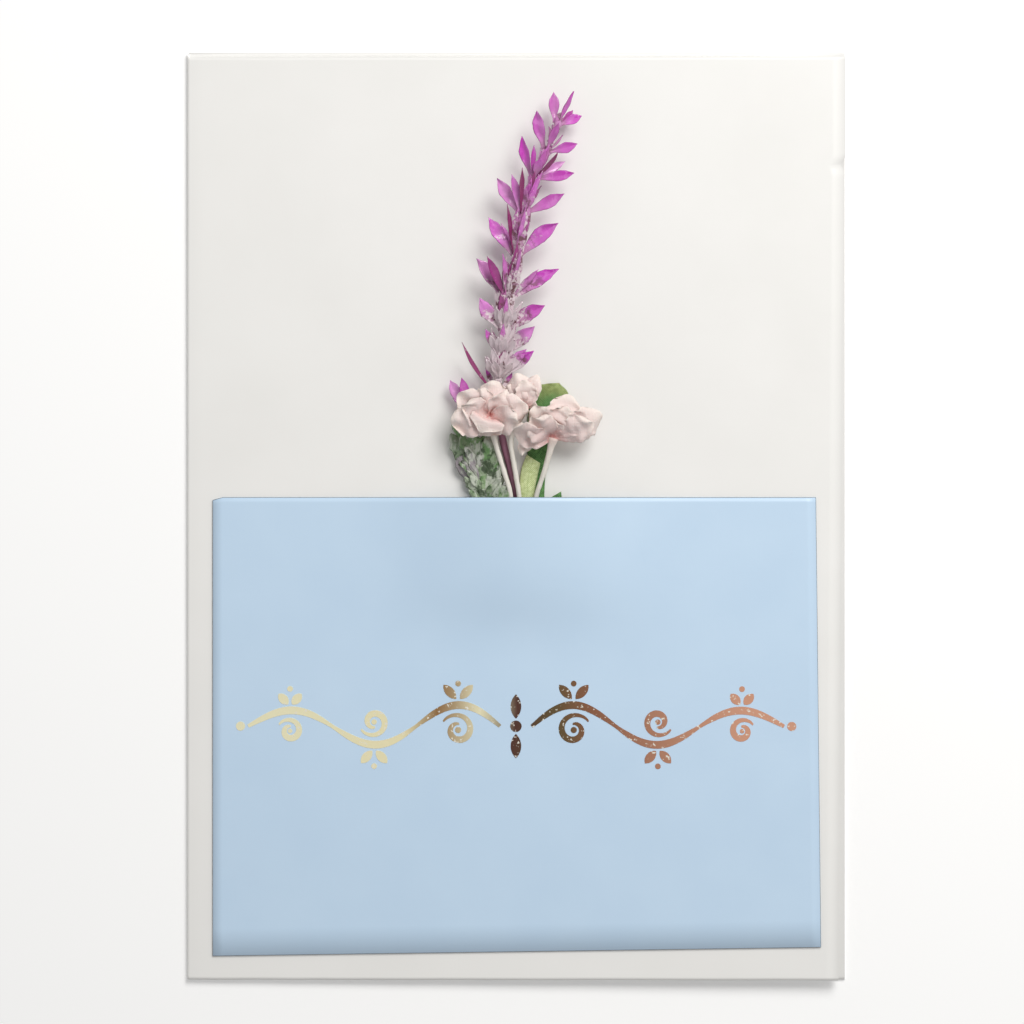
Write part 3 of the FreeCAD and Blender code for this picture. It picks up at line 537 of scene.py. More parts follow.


# Hot-stamped foil, its reflection painted across it: pale gold at the left, brown and bronze about the middle, copper
# at the right.
def makeGoldFoil():
    material, tree, inputs = newMaterial("goldFoil", 0.3)
    place = tree.nodes.new("ShaderNodeTexCoord").outputs["Object"]
    axes = tree.nodes.new("ShaderNodeSeparateXYZ")
    tree.links.new(place, axes.inputs[0])
    drift = calc(tree, "MULTIPLY", calc(tree, "SUBTRACT", noiseMap(tree, 90.0, 2.0), 0.5), 0.1)
    share = calc(tree, "ADD", remap(tree, axes.outputs[0], -0.046, 0.046), drift)
    # Colour painted along the foil from left to right: a painted reflection, not the foil's own tone.
    body = ramp(tree, share, [
        (0.0, paint(252, 246, 208)),
        (0.22, paint(250, 240, 196)),
        (0.3, paint(156, 116, 72)),
        (0.4, paint(250, 242, 204)),
        (0.5, paint(88, 54, 44)),
        (0.6, paint(104, 86, 54)),
        (0.72, paint(150, 100, 74)),
        (1.0, paint(226, 168, 140)),
    ])
    # Noise picks pale spots: painted glints on the foil.
    glint = remap(tree, noiseMap(tree, 1500.0, 2.0, roughness=0.7), 0.6, 0.68)
    plug(tree, mixColours(tree, glint, body, paint(255, 250, 236)), inputs["Base Color"])
    inputs["Metallic"].default_value = 0.35
    plug(tree, remap(tree, glint, 0.0, 1.0, 0.34, 0.2), inputs["Roughness"])
    addBump(tree, inputs, noiseMap(tree, 900.0, 2.0), 0.03)
    return material


def makeClearTape():
    material, tree, inputs = newMaterial("clearTape", 0.3)
    paper = useGroup(tree, paperGroup, Scale=200.0)
    plug(tree, mixColours(tree, paper["Cloud"], paint(226, 226, 220), paint(238, 238, 232)), inputs["Base Color"])
    plug(tree, remap(tree, paper["Cloud"], 0.3, 0.7, 0.25, 0.5), inputs["Roughness"])
    return material


def makeFloralTape():
    material, tree, inputs = newMaterial("floralTape", 0.7)
    paper = useGroup(tree, paperGroup, Scale=400.0)
    plug(tree, mixColours(tree, paper["Cloud"], paint(62, 92, 52), paint(94, 124, 76)), inputs["Base Color"])
    addBump(tree, inputs, paper["Fibre"], 0.1)
    return material


materials = {
    "white_card": makeWhiteCard(),
    "blue_paper": makeBluePaper(),
    "purple_bract": makePurpleBract(),
    "spike_wire": makeSpikeWire(),
    "frosted_green": makeFrostedGreen(),
    "pink_paper": makePinkPaper(),
    "cream_paper": makeCreamPaper(),
    "woven_leaf": makeWovenLeaf(),
    "pale_leaf_cloth": makePaleLeaf(),
    "gold_foil": makeGoldFoil(),
    "clear_tape": makeClearTape(),
    "floral_tape": makeFloralTape(),
}
print("stage: materials made")


# Card: one board folded at the left, both leaves and the fold in one closed skin.
def makeCard():
    slant = np.array([math.cos(openingSlope), math.sin(openingSlope)])
    centre = np.array([foldRadius - halfWidth, foldRadius])
    run = cardSizes["width"] - foldRadius
    outer, inner, frontShare, runShare = [], [], [], []
    for x in np.linspace(halfWidth, centre[0], 9)[:-1]:
        outer.append((x, 0))
        inner.append((x, cardSizes["board"]))
        frontShare.append(0)
        runShare.append(0)
    for share in np.linspace(0, 1, 13):
        turn = 1.5 * math.pi - share * (math.pi - openingSlope)
        ray = np.array([math.cos(turn), math.sin(turn)])
        outer.append(centre + ray * foldRadius)
        inner.append(centre + ray * cardSizes["foldInside"])
        frontShare.append(share)
        runShare.append(0)
    outerTop, innerTop = outer[-1], inner[-1]
    for share in np.linspace(0, 1, 49)[1:]:
        outer.append(outerTop + slant * run * share)
        inner.append(innerTop + slant * run * share)
        frontShare.append(1)
        runShare.append(share)
    heights = np.linspace(0, 1, 297)
    shortPlaces, shortAmounts = zip(*frontEdgeShort)
    upper = np.zeros((len(outer), len(heights), 3))
    lower = np.zeros_like(upper)
    for j, share in enumerate(heights):
        level = -halfHeight + cardSizes["height"] * share
        short = np.interp(level, shortPlaces, shortAmounts) + cardSizes["edgeWander"] * abs(wander(level, 3.1))
        for i, front in enumerate(frontShare):
            loss = cardSizes["edgeWander"] * abs(wander(outer[i][0], 5.7 + front)) * front
            top = halfHeight - front * cardSizes["frontShortTop"] - loss
            bottom = -halfHeight + loss
            y = bottom + (top - bottom) * share
            x, z = np.array(outer[i]) - slant * short * runShare[i]
            upper[i, j] = (x, y, z)
            x, z = np.array(inner[i]) - slant * short * runShare[i]
            lower[i, j] = (x, y, z)
    form = newForm()
    addSheet(form, upper, lower, {})
    buildPiece("cardBoard", form, materials["white_card"], ["card"], onLeaf=False)


makeCard()

pocketSizes = {
    "mouth": 3.0,
    "left": 48.4,
    "right": 47.8,
    "lean": 0.8,
    "depth": 73.2,
    "skew": 1.5,
    "paper": 0.2,
    "tape": 0.12,
    "lift": 3.0,
    "spread": 27,
    "liftedStretch": 25,
    "bevel": 0.08,             # the knife leaves a slanting cut, so that the edge shows as a line, dark with painted shade
    "clippedCorner": (1.1, 0.45),
}
# Rows of control points: share of the lifted stretch, share of the lift.
pocketRows = [(0, 1), (0.17, 0.95), (0.38, 0.85), (0.62, 0.58), (0.82, 0.14), (1, 0), (1.12, 0), (1.3, 0)]


# Pocket sheet: taped flat on three sides, lifted at its mouth by the stems.
def makePocketSheet():
    s = pocketSizes
    rows = [(stretch * s["liftedStretch"] / s["depth"], share) for stretch, share in pocketRows]
    rows += [(0.7, 0), (1, 0)]
    columns = 11
    net = np.zeros((len(rows), columns, 3))
    for i, (down, share) in enumerate(rows):
        for j in range(columns):
            across = j / (columns - 1)
            x = (s["left"] + s["right"] + s["lean"] * down) * across - s["left"]
            y = s["mouth"] - (s["depth"] - s["skew"] * across) * down
            offMiddle = min(1.0, abs(x) / s["spread"])
            net[i, j] = (x, y, s["tape"] + s["lift"] * share * math.cos(offMiddle * math.pi / 2) ** 2)
    rowWeights = cubicWeights(len(rows), np.linspace(0, 1, 101))
    columnWeights = cubicWeights(columns, np.linspace(0, 1, 141))
    lower = np.einsum("ai,ijk,bj->abk", rowWeights, net, columnWeights)
    reach, drop = s["clippedCorner"]
    fromLeft = lower[..., 0] + s["left"]
    fromTop = s["mouth"] - lower[..., 1]
    clip = np.clip(1 - fromLeft / reach, 0, 1) * np.clip(1 - fromTop / 4, 0, 1)
    lower[..., 1] -= clip * drop
    upper = lower + np.array([0, 0, s["paper"]])
    bevel = s["bevel"]
    upper[0, :, 1] -= bevel
    upper[-1, :, 1] += bevel
    upper[:, 0, 0] += bevel
    upper[:, -1, 0] -= bevel
    form = newForm()
    addSheet(form, upper, lower, {})
    buildPiece("pocketPaper", form, materials["blue_paper"], ["pocket_sheet"])


makePocketSheet()
print("stage: card and pocket made")


# Purple spike: points where its whorls sit, from the tip down.
spikeSizes = {
    "wire": 0.6,
    "wrapped": 1.2,            # the wire where plastic covers it, between the last whorl and the pocket
    "bore": 0.36,
    "collarWall": 0.24,
    "whorlGap": 0.7,
    "rootDepth": 0.7,
    "bractThick": 0.36,
    "sepalShare": 0.56,        # of the way to the next whorl
    "sepalWidth": 1.4,
    "sepalRise": 2.4,
    "clasps": 6,               # short scales round each collar
    "wrapLevel": -3.0,
    "wireEnd": -12,
    "wirePitch": 1.1,
    "bundleMiddle": 0.6,
    "wireFloor": 0.3,
}
spikeNodes = [
    (6.8, 62.9, 3.0), (5.2, 58.6, 3.2), (3.1, 54.3, 3.3), (1.1, 48.7, 3.4), (0.1, 42.0, 3.5),
    (-1.2, 35.2, 3.5), (-1.9, 30.2, 3.4), (-2.4, 26.2, 3.3), (-2.7, 22.8, 3.1), (-2.9, 19.8, 2.8),
]
spikeFoot = [(-2.9, 16.6, 2.3), (-2.3, 13.0, 1.7), (-1.1, 8.0, 1.0), (0.0, 3.0, 0.6)]
# Bracts of each whorl: where the tip lies (right, up), degrees of lift, width, degrees of roll; where a bract
# is plainly paler or darker than the rest, a last number tells how much, from 1 to -1.
spikeBracts = [
    [(6.0, 67.3, 5, 1.7, 10), (9.0, 67.4, 20, 1.4, 60), (10.5, 63.5, -6, 1.6, 0), (9.0, 64.6, -35, 1.1, 20)],
    [(3.5, 64.3, 10, 2.0, -10), (6.9, 62.3, 35, 1.3, 20), (7.4, 60.7, -35, 0.7, 60), (9.8, 59.1, 4, 1.8, 5)],
    [(1.2, 60.3, 6, 1.6, -15), (2.8, 58.8, 30, 1.0, 30), (6.6, 57.5, 30, 1.1, 50, -1), (7.8, 56.3, -15, 1.4, 10, 1),
     (9.3, 54.4, 2, 1.8, 0)],
    [(-3.0, 53.5, 5, 2.1, 10, 0.8), (-0.8, 54.1, 22, 1.4, 15), (0.7, 55.2, 28, 0.9, 30, -1), (3.5, 53.9, 25, 1.3, 40),
     (7.8, 51.0, 6, 2.0, -10), (3.8, 52.6, -30, 0.8, 50)],
    [(-4.4, 47.3, 8, 2.1, 15), (-2.6, 46.3, -15, 1.2, 40), (-1.9, 49.3, 25, 0.9, 40, -1),
     (1.4, 48.8, 30, 1.1, 50), (6.9, 46.3, 8, 2.4, 0)],
    [(-6.4, 40.7, 8, 2.4, 10, 0.9), (-4.7, 41.1, 24, 1.5, 20, -0.8), (-2.3, 41.5, 27, 1.1, 40),
     (0.1, 42.5, 27, 1.1, 60), (3.5, 39.2, 10, 1.2, 30), (7.0, 39.0, 2, 2.2, -5)],
    [(-5.7, 34.6, 14, 2.3, 10), (-1.6, 34.6, 32, 1.1, 50), (4.8, 33.2, 10, 2.5, -10)],
    [(-4.9, 29.6, 8, 1.3, 20), (-2.2, 30.6, 32, 1.2, 40), (3.1, 30.1, 10, 2.4, 5)],
    [(-4.6, 25.3, 12, 0.8, 20), (1.8, 26.4, 14, 1.9, 10), (3.0, 26.2, 8, 2.0, 0)],
    [(-8.6, 27.6, 6, 0.7, 20, -1), (-4.9, 23.6, -12, 0.9, 20), (-0.6, 22.8, -12, 1.1, 0)],
]
# Small sepals of each whorl: how many, and how far apart the outermost tips stand.
spikeSepals = [(0, 0), (0, 0), (1, 0), (2, 1.2), (2, 1.4), (3, 2.0), (4, 3.2), (4, 3.8), (4, 4.2), (0, 0)]


# One blade, cupped, arched and ruffled as its look says, thick along its middle and thin at its rim.
def addBlade(form, spot, turn, length, width, thick, look, marks):
    along = np.linspace(0, 1, look["steps"])
    across = np.linspace(-1, 1, look["columns"])
    half = width * throughPoints(look["outline"], 60)
    outline = np.interp(along * width, half[:, 0], half[:, 1])
    ragged = [noise.noise(Vector((u * length * 1.4, look["seed"], 2.6))) for u in along]
    outline = outline * (1 + look["jag"] * np.array(ragged))
    grid = np.zeros((len(along), len(across), 3))
    body = np.zeros((len(along), len(across)))
    for i, u in enumerate(along):
        for j, v in enumerate(across):
            rough = noise.noise(Vector((u * 0.7 * length, v * 1.1, look["seed"])))
            rise = look["bend"] * length * u * u + look["arch"] * length * math.sin(math.pi * u)
            rise += look["cup"] * outline[i] * abs(v) ** 1.6 + look["rough"] * width * rough
            rise += look["ruffle"] * math.sin(v * look["waves"] + look["seed"]) * u * u
            slide = look["sway"] * length * math.sin(u * math.pi * 0.8) ** 2
            blunt = 1 - look["blunt"] * v * v * u
            grid[i, j] = (outline[i] * v + slide, length * u * blunt, rise)
            body[i, j] = thick * (1 - 0.78 * abs(v) ** 1.5) * (1 - 0.55 * u) / 2
    upper = grid + np.stack([0 * body, 0 * body, body], -1)
    lower = grid - np.stack([0 * body, 0 * body, body], -1)
    shown = dict(marks)
    shown["along"] = np.repeat(along, len(across)) * look["tint"]
    shown["across"] = np.tile(np.abs(across), len(along))
    shown["flank"] = np.tile(across / 2 + 0.5, len(along))
    addSheet(form, upper @ turn.T + spot, lower @ turn.T + spot, shown, sharpRim=False)


bractOutline = [(0, 0.17), (0.18, 0.2), (0.4, 0.4), (0.6, 0.5), (0.78, 0.38), (0.92, 0.14), (1, 0.015)]


def bladeLook(dice, seed, **changes):
    look = {
        "steps": 15,
        "columns": 9,
        "outline": bractOutline,
        "bend": dice.uniform(0.02, 0.1),
        "arch": 0.0,
        "cup": dice.uniform(0.25, 0.6),
        "sway": dice.uniform(-0.05, 0.05),
        "rough": 0.12,
        "ruffle": 0.0,
        "waves": 0.0,
        "blunt": 0.0,
        "jag": 0.15,
        "tint": 1.0,               # how far out along a blade its colours go
        "seed": seed,
    }
    look.update(changes)
    return look


def bractTips(node, bracts):
    tips = []
    for right, up, lift, width, roll, *tone in bracts:
        levelReach = math.hypot(right - node[0], up - node[1])
        tip = np.array([right, up, node[2] + levelReach * math.tan(math.radians(lift))])
        tips.append((tip, width, roll, tone[0] if tone else 0))
    return tips


# Small sepals side by side in front of the wire, with a few more between them.
def sepalTips(node, above, count, spread, dice):
    s = spikeSizes
    up = (np.array(above) - node) * s["sepalShare"]
    across = np.cross(up, [0, 0, 1.0])
    across /= np.linalg.norm(across)
    tips = []
    for k in range(count):
        place = k / (count - 1) - 0.5 if count > 1 else 0
        front = np.array([0, 0, s["sepalRise"] * (1 - 0.4 * abs(place))])
        tips.append((node + up + across * spread * place + front, s["sepalWidth"], 60 * place, 0))
    for k in range(count * 3):
        place = dice.uniform(-0.7, 0.7)
        front = np.array([0, 0, dice.uniform(1.0, 2.0) * (1 - abs(place))])
        tip = node + up * dice.uniform(1.1, 2.2) + across * spread * place + front
        tips.append((tip, s["sepalWidth"] * dice.uniform(0.6, 0.9), 70 * place, dice.uniform(-1, 0.8)))
    return tips


# One moulding of the spike: a collar round the wire with short scales, and bracts and sepals on its rim.
def makeWhorl(name, node, below, bracts, sepals, replaced, rank, frostShare, atTip=False):
    s = spikeSizes
    dice = random.Random(rank * 17 + 5)
    down = np.array(below) - node
    collarLength = np.linalg.norm(down) - s["whorlGap"]
    down /= np.linalg.norm(down)
    radius = s["bore"] + s["collarWall"]
    form = newForm("along", "across", "flank", "shade", "frost", "lilac")
    cap = radius * 2 if atTip else 0
    shares = np.linspace(0, 1, 26)
    path = [node - down * cap + down * share * (collarLength + cap) for share in shares]
    radii = [radius * (0.86 + 0.14 * math.sin(share * 40)) for share in shares]
    if atTip:
        radii[0] = radius * 0.3
        radii[1] = radius * 0.6
    addTube(form, path, radii, 14, {"along": 0.1, "shade": 0.1, "frost": frostShare}, lumps=0.12, seed=rank)
    side = np.cross(-down, [0, 0, 1.0])
    side /= np.linalg.norm(side)
    front = np.cross(side, -down)
    for k in range(s["clasps"]):
        angle = 2 * math.pi * (k + dice.uniform(-0.2, 0.2)) / s["clasps"]
        ray = side * math.cos(angle) + front * math.sin(angle)
        foot = node + down * collarLength * dice.uniform(0.3, 0.8) + ray * radius * 0.8
        reach = -down * dice.uniform(1.3, 2.0) + ray * dice.uniform(0.2, 0.5)
        look = bladeLook(dice, rank * 5.3 + k, cup=-0.55, tint=0.3)
        marks = {"shade": dice.uniform(0, 0.5), "frost": frostShare, "lilac": dice.uniform(0, 0.8)}
        addBlade(form, foot, bladeTurn(reach, ray), np.linalg.norm(reach), dice.uniform(0.9, 1.3),
                 s["bractThick"] * 0.7, look, marks)
    for k, (tip, width, roll, tone) in enumerate(bracts + sepals):
        small = k >= len(bracts)
        outward = tip - node
        outward = outward - down * np.dot(outward, down)
        outward /= np.linalg.norm(outward)
        seat = node + down * s["rootDepth"] + outward * (s["bore"] + s["collarWall"] / 2)
        reach = tip - seat
        dull = small or width < 0.85
        look = bladeLook(dice, rank * 3.1 + k * 1.7, tint=0.5 if dull else 1.0)
        # Bracts that hang down towards the card are painted darker: painted shade beneath the spike.
        hanging = reach[2] < -0.25 * np.linalg.norm(reach)
        marks = {
            "shade": max(-tone, dice.uniform(0.3, 0.7) if hanging and tone == 0 else dice.uniform(0, 0.25)),
            "frost": min(1, (0.2 if dull and rank > 3 else 0) + frostShare) * (1 + 0.75 * min(0, tone)),
            "lilac": max(tone, dice.uniform(0, 0.8) ** 2),
        }
        addBlade(form, seat, bladeTurn(reach, np.array([0, 0, 1.0]), roll), np.linalg.norm(reach), width,
                 s["bractThick"], look, marks)
    buildPiece(name, form, materials["purple_bract"], [replaced])


def bandPlace(slotIndex, y, diameter):
    s = spikeSizes
    return (s["bundleMiddle"] + (slotIndex - 1.5) * s["wirePitch"], y, s["wireFloor"] + diameter / 2)


def makeSpike():
    s = spikeSizes
    wire = s["wire"]
    points = spikeNodes + spikeFoot + [bandPlace(1, s["wrapLevel"], wire), bandPlace(1, s["wireEnd"], wire)]
    points[0] = tuple(np.array(points[0]) * 0.98 + np.array(points[1]) * 0.02)
    path = roundedPath(points, 0.2)
    form = newForm("along")
    thick = np.interp([point[1] for point in path], [2.0, 12.0, 16.0], [wire / 2, s["wrapped"] / 2, wire / 2])
    addTube(form, path, thick, 12, {}, lumps=0.08)
    buildPiece("spikeWire", form, materials["spike_wire"], ["spike_stem"])
    ways = spikeNodes + spikeFoot
    for k, place in enumerate(spikeNodes):
        node = np.array(place)
        share = k / (len(spikeNodes) - 1)
        sepals = sepalTips(node, ways[k - 1], *spikeSepals[k], random.Random(k * 7 + 2))
        makeWhorl("spikeWhorl%02d" % (k + 1), node, ways[k + 1], bractTips(node, spikeBracts[k]), sepals,
                  "spike_whorl_%02d" % (k + 1), k + 1, max(0, share * 1.4 - 0.3), atTip=(k == 0))


makeSpike()
print("stage: spike made")


sprigSizes = {
    "stalk": 0.8,
    "leafThick": 0.8,
    "collar": 2.12,
    "greyPlace": (-7.8, 10.2),     # middle of the grey-lilac patch
    "greyReach": 2.0,
}
sprigPoints = [(-4.2, -4.0, 1.0), (-4.6, 3.0, 1.0), (-6.2, 9.0, 1.0), (-8.1, 17.6, 1.2)]
# Leaves of the sprig: share of the stalk below the leaf, then its tip (right, up, in front), width, lilac.
sprigLeaves = [
    (0.20, -1.5, 4.8, 1.1, 2.6, 0), (0.24, -7.6, 6.8, 0.9, 2.6, 0), (0.26, -2.9, 9.2, 1.2, 2.8, 0),
    (0.32, -4.8, 12.4, 1.5, 3.0, 0), (0.40, -9.2, 9.4, 1.5, 3.0, 0.9), (0.46, -6.8, 13.2, 1.8, 3.0, 0),
    (0.52, -10.5, 13.0, 1.0, 2.8, 0.3), (0.56, -8.6, 13.6, 1.5, 2.8, 0.1), (0.60, -4.6, 13.4, 1.3, 2.4, 0),
    (0.62, -10.1, 15.2, 1.2, 1.4, 0),
]
sprigOutline = [(0, 0.2), (0.15, 0.36), (0.4, 0.5), (0.7, 0.5), (0.88, 0.36), (1, 0.1)]
floretBracts = [(-10.5, 21.6, 4, 1.9, 0, 1), (-8.8, 22.0, 20, 1.6, 20), (-6.9, 20.2, 0, 1.3, 0, -1)]


# Side sprig: frosted blunt leaves, with small rough leaflets between them.
def makeSprig():
    s = sprigSizes
    dice = random.Random(41)
    path = roundedPath(sprigPoints, 0.4, 8, 6)
    form = newForm("along", "across", "lilac", "pale")
    addTube(form, path, [s["stalk"] / 2] * len(path), 12, {}, lumps=0.12)
    leaves = [(*leaf, 1.0) for leaf in sprigLeaves]
    for k in range(60):
        share = dice.uniform(0.18, 0.6)
        x, y, z = path[int(share * (len(path) - 1))]
        leaves.append((share, x + dice.uniform(-4.2, 3.0), y + dice.uniform(2.4, 5.0), z + dice.uniform(0.3, 1.4),
                       dice.uniform(0.7, 1.3), dice.uniform(0, 0.25), 0.5))
    for k, (share, x, y, z, width, lilac, body) in enumerate(leaves):
        spot = path[int(share * (len(path) - 1))]
        grey = math.dist((x, y), s["greyPlace"]) < s["greyReach"]
        reach = np.array([x, y, z]) - spot
        look = bladeLook(dice, k * 2.3 + 9, outline=sprigOutline, cup=dice.uniform(-0.5, 0.3), jag=0.5)
        addBlade(form, spot, bladeTurn(reach, np.array([0, 0, 1.0]), dice.uniform(-25, 25)),
                 np.linalg.norm(reach), width, s["leafThick"] * body, look,
                 {"lilac": 0.9 if grey else lilac, "pale": dice.uniform(0, 0.9) if body < 1 else 0.1})
    buildPiece("sideSprig", form, materials["frosted_green"], ["side_sprig"])
    tip = np.array(sprigPoints[-1])
    back = np.array(sprigPoints[-2]) - tip
    back /= np.linalg.norm(back)
    node = tip - back * 0.06
    makeWhorl("sideFloret", node, tip + back * s["collar"], bractTips(node, floretBracts), [], "side_floret", 14,
              0.3, atTip=True)


makeSprig()
print("stage: side sprig made")


flowerSizes = {
    "hub": 0.7,
    "paper": 0.14,
    "wire": 0.85,
    "layerStep": 0.36,
    "flareRadius": 1.0,       # radius of the paper-wrapped wire where it spreads under the petals
}
# Petals of each layer: where the tip lies (right, up, in front), and the width. The feet meet at the heart,
# but a petal that hangs from another one has its own foot after its width.
flowers = [
    {"name": "left", "heart": (-4.0, 16.0, 4.3), "slot": 0, "seed": 3,
     "outer": [(-3.4, 21.5, 4.6, 5.4), (-9.2, 19.3, 4.8, 4.8), (-10.3, 15.0, 5.4, 5.0), (-5.4, 12.8, 5.2, 5.6),
               (2.0, 17.2, 5.4, 5.4)],
     "inner": [(0.6, 15.2, 6.4, 5.2), (-8.4, 17.4, 6.4, 4.4), (-5.6, 20.2, 6.4, 3.4), (-5.2, 13.4, 6.7, 5.6),
               (-1.2, 19.6, 6.2, 4.0)],
     "stem": [(-3.4, 12.0, 2.8), (-0.6, 3.0, 1.6)]},
    {"name": "back", "heart": (1.4, 17.2, 3.2), "slot": 2, "seed": 8,
     "outer": [(0.2, 22.7, 3.4, 4.2), (3.6, 22.4, 3.4, 3.0), (2.6, 18.9, 3.3, 2.8), (-1.3, 20.8, 3.6, 3.6),
               (-0.6, 17.6, 3.4, 2.8)],
     "inner": [(1.4, 21.6, 4.8, 3.4), (2.9, 20.4, 4.6, 2.4), (0.2, 20.2, 4.6, 2.4)],
     "stem": [(-1.0, 12.5, 2.9), (0.6, 3.0, 1.6)]},
    {"name": "right", "heart": (6.0, 12.6, 3.8), "slot": 3, "seed": 12,
     "outer": [(8.6, 19.2, 4.6, 6.0), (13.7, 16.2, 4.6, 5.4), (2.6, 17.2, 4.6, 4.8), (-0.8, 14.0, 4.6, 4.2),
               (0.9, 9.7, 3.6, 2.2, 2.2, 13.0, 4.3)],
     "inner": [(2.6, 15.6, 6.5, 5.2), (8.8, 16.8, 6.6, 5.8), (12.4, 14.6, 6.2, 4.6), (5.4, 15.4, 6.4, 4.0)],
     "stem": [(4.6, 7.2, 2.4), (3.1, 3.0, 1.4)]},
]
petalOutline = [(0, 0.14), (0.12, 0.22), (0.3, 0.4), (0.55, 0.52), (0.8, 0.5), (0.94, 0.4), (1, 0.3)]


# Paper flower: two layers of broad ruffled petals on a paper-wrapped wire.
def makeFlower(flower):
    s = flowerSizes
    dice = random.Random(flower["seed"])
    heart = np.array(flower["heart"])
    front = np.array([0, 0, 1.0])
    for layer, step in (("outer", 0), ("inner", s["layerStep"])):
        form = newForm("along", "across")
        seat = heart + front * step
        addTube(form, [seat - front * 0.08, seat + front * 0.14], [s["hub"], s["hub"]], 16, {})
        for k, (right, up, level, width, *foot) in enumerate(flower[layer]):
            start = np.array(foot) if foot else seat
            reach = np.array([right, up, level]) - start
            facing = np.array([dice.uniform(-0.3, 0.3), -0.4, 1.0])
            look = bladeLook(dice, flower["seed"] + k * 2.1, steps=24, columns=21, outline=petalOutline, bend=0.0,
                             arch=dice.uniform(0.08, 0.18), cup=dice.uniform(-0.3, 0.25), rough=0.16,
                             ruffle=dice.uniform(0.25, 0.5), waves=dice.uniform(3.0, 6.0), blunt=0.18, jag=0.14)
            addBlade(form, start, bladeTurn(reach, facing, dice.uniform(-12, 12)), np.linalg.norm(reach), width,
                     s["paper"], look, {})
        buildPiece("%sFlower%s" % (flower["name"], layer.capitalize()), form, materials["pink_paper"],
                   ["%s_flower_%s" % (flower["name"], layer)])
    wire = s["wire"]
    stem = [np.array(point) for point in flower["stem"]]
    away = (stem[0] - heart) / np.linalg.norm(stem[0] - heart)
    points = [heart + away * 0.1, *stem, bandPlace(flower["slot"], spikeSizes["wrapLevel"], wire),
              bandPlace(flower["slot"], spikeSizes["wireEnd"], wire)]
    path = roundedPath(points, 0.4, 8, 8)
    walked = np.concatenate([[0], np.cumsum(np.linalg.norm(np.diff(path, axis=0), axis=1))])
    spread = np.exp(-walked / 1.6)
    radii = wire / 2 * 0.9 + (s["flareRadius"] - wire / 2) * spread
    form = newForm("along")
    addTube(form, path, radii, 14, {"along": spread}, lumps=0.08, seed=flower["seed"])
    buildPiece("%sFlowerStem" % flower["name"], form, materials["cream_paper"],
               ["%s_flower_stem" % flower["name"]])


for flower in flowers:
    makeFlower(flower)
print("stage: flowers made")


leafShapes = {
    "fabric_leaf": {"left": [(2.8, -3.0), (1.9, 8.0), (1.9, 16.0), (3.4, 20.4), (4.9, 21.1)],
                    "right": [(4.4, -3.0), (4.9, 8.0), (7.6, 15.0), (8.4, 19.2), (6.9, 21.2)],
                    "level": 0.1, "arch": 0.5, "slot": "woven_leaf"},
    "pale_leaf": {"left": [(0.8, 1.2), (0.6, 4.0), (0.8, 7.2), (1.7, 9.8)],
                  "right": [(2.7, 1.2), (3.1, 4.6), (3.9, 8.4)],
                  "level": 0.55, "arch": 0.3, "slot": "pale_leaf_cloth"},
    "small_leaf": {"left": [(4.9, -3.0), (4.6, 0.5), (4.9, 2.6)],
                   "right": [(6.4, -3.0), (7.4, 1.0), (7.2, 3.9)],
                   "level": 0.55, "arch": 0.2, "slot": "woven_leaf"},
}
leafThick = 0.25


# Woven leaves: blades between two smooth sides, a little arched and wavy.
def makeLeaf(node, shape):
    steps = 60
    left = throughPoints(shape["left"], steps)
    right = throughPoints(shape["right"], steps)
    across = np.linspace(0, 1, 15)
    grid = np.zeros((steps, len(across), 3))
    for i in range(steps):
        for j, v in enumerate(across):
            x, y = left[i] * (1 - v) + right[i] * v
            rise = shape["arch"] * math.sin(math.pi * v) * min(1, i / 25)
            rough = 0.25 * noise.noise(Vector((x * 0.5, y * 0.35, shape["level"]))) * min(1, i / 20)
            grid[i, j] = (x, y, shape["level"] + max(0, rise + rough))
    form = newForm("along", "across")
    # The small leaf takes only the low, dark green end of these colours: the same painted shade.
    marks = {"along": np.repeat(np.linspace(0, 1, steps), len(across)) * (0.5 if node == "small_leaf" else 1),
             "across": np.tile(np.abs(across * 2 - 1), steps)}
    addSheet(form, grid + np.array([0, 0, leafThick]), grid, marks)
    words = node.split("_")
    buildPiece(words[0] + words[1].capitalize(), form, materials[shape["slot"]], [node])


for node, shape in leafShapes.items():
    makeLeaf(node, shape)
print("stage: leaves made")


# Pieces whose solids already have their true form only take a finish.
kept = {
    "foil_ornament": "gold_foil",
    "pocket_tape_left": "clear_tape",
    "pocket_tape_right": "clear_tape",
    "pocket_tape_bottom": "clear_tape",
    "stem_wrap": "floral_tape",
}
for node, materialName in kept.items():
    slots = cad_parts[node].material_slots
    for slot in slots:
        slot.material = materials[materialName]

stageSizes = {
    "fieldWidth": 0.1633,      # what the picture takes in, left to right
    "middle": (-0.00064, 0.00064),
    "distance": 0.7,
    "level": 0.0013,
    "floorSide": 4.0,
    "floorColour": paint(246, 246, 246),
    "floorLift": 0.14,         # light that only the camera sees, so that the open floor is white
    "keyPlace": (0.20, 0.32, 0.42),
    "keySide": 0.3,
    "keyPower": 2.44,
    "worldStrength": 0.42,
}


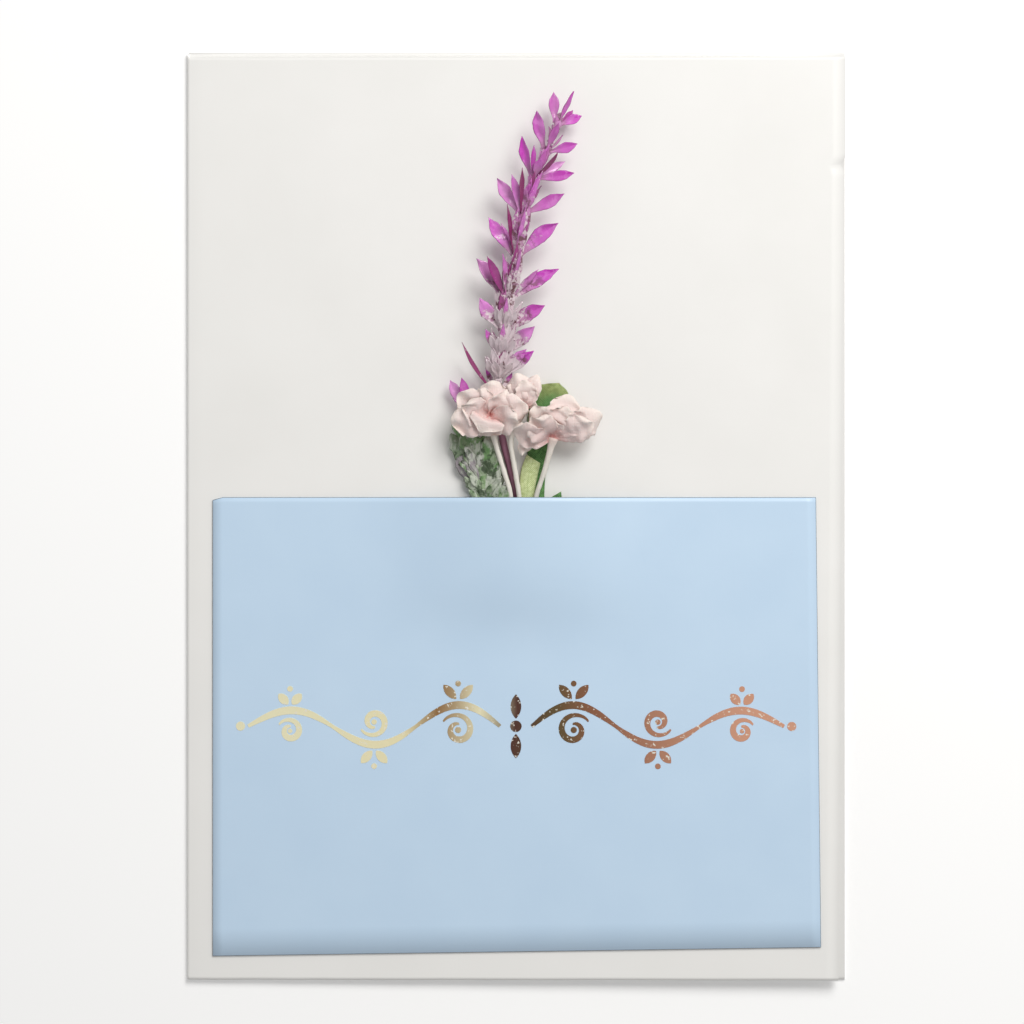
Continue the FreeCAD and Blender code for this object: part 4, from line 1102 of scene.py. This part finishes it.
def makeFloor():
    s = stageSizes
    side = s["floorSide"] / 2
    mesh = bpy.data.meshes.new("floor")
    mesh.from_pydata([(-side, -side, 0), (side, -side, 0), (side, side, 0), (-side, side, 0)], [], [(0, 1, 2, 3)])
    material, tree, inputs = newMaterial("floorPaint", 0.9)
    paper = useGroup(tree, paperGroup, Scale=20.0)
    plug(tree, mixColours(tree, calc(tree, "MULTIPLY", paper["Cloud"], 0.2), s["floorColour"], paint(242, 242, 242)),
         inputs["Base Color"])
    inputs["Specular IOR Level"].default_value = 0.0
    rays = tree.nodes.new("ShaderNodeLightPath").outputs
    seen = calc(tree, "MAXIMUM", rays["Is Camera Ray"], rays["Is Glossy Ray"])
    inputs["Emission Color"].default_value = (1, 1, 1, 1)
    plug(tree, calc(tree, "MULTIPLY", seen, s["floorLift"]), inputs["Emission Strength"])
    mesh.materials.append(material)
    floor = bpy.data.objects.new("floor", mesh)
    bpy.context.scene.collection.objects.link(floor)


def makeLights():
    s = stageSizes
    lamp = bpy.data.lights.new("key", "AREA")
    lamp.shape = "SQUARE"
    lamp.size = s["keySide"]
    lamp.energy = s["keyPower"]
    lamp.color = (1.0, 0.99, 0.97)
    key = bpy.data.objects.new("key", lamp)
    key.location = s["keyPlace"]
    key.rotation_euler = (-Vector(s["keyPlace"])).to_track_quat("-Z", "Y").to_euler()
    bpy.context.scene.collection.objects.link(key)
    world = bpy.data.worlds.new("studio")
    world.use_nodes = True
    sky = world.node_tree.nodes["Background"].inputs
    sky["Color"].default_value = (1.0, 0.995, 0.985, 1)
    sky["Strength"].default_value = s["worldStrength"]
    bpy.context.scene.world = world


def makeCamera():
    s = stageSizes
    data = bpy.data.cameras.new("camera")
    data.type = "PERSP"
    data.sensor_width = 36
    data.lens = data.sensor_width * s["distance"] / s["fieldWidth"]
    camera = bpy.data.objects.new("camera", data)
    camera.location = (*s["middle"], s["distance"] + s["level"])
    bpy.context.scene.collection.objects.link(camera)
    bpy.context.scene.camera = camera


makeFloor()
makeLights()
makeCamera()
bpy.context.scene.view_settings.view_transform = "Standard"
print("stage: floor, lights and camera made")
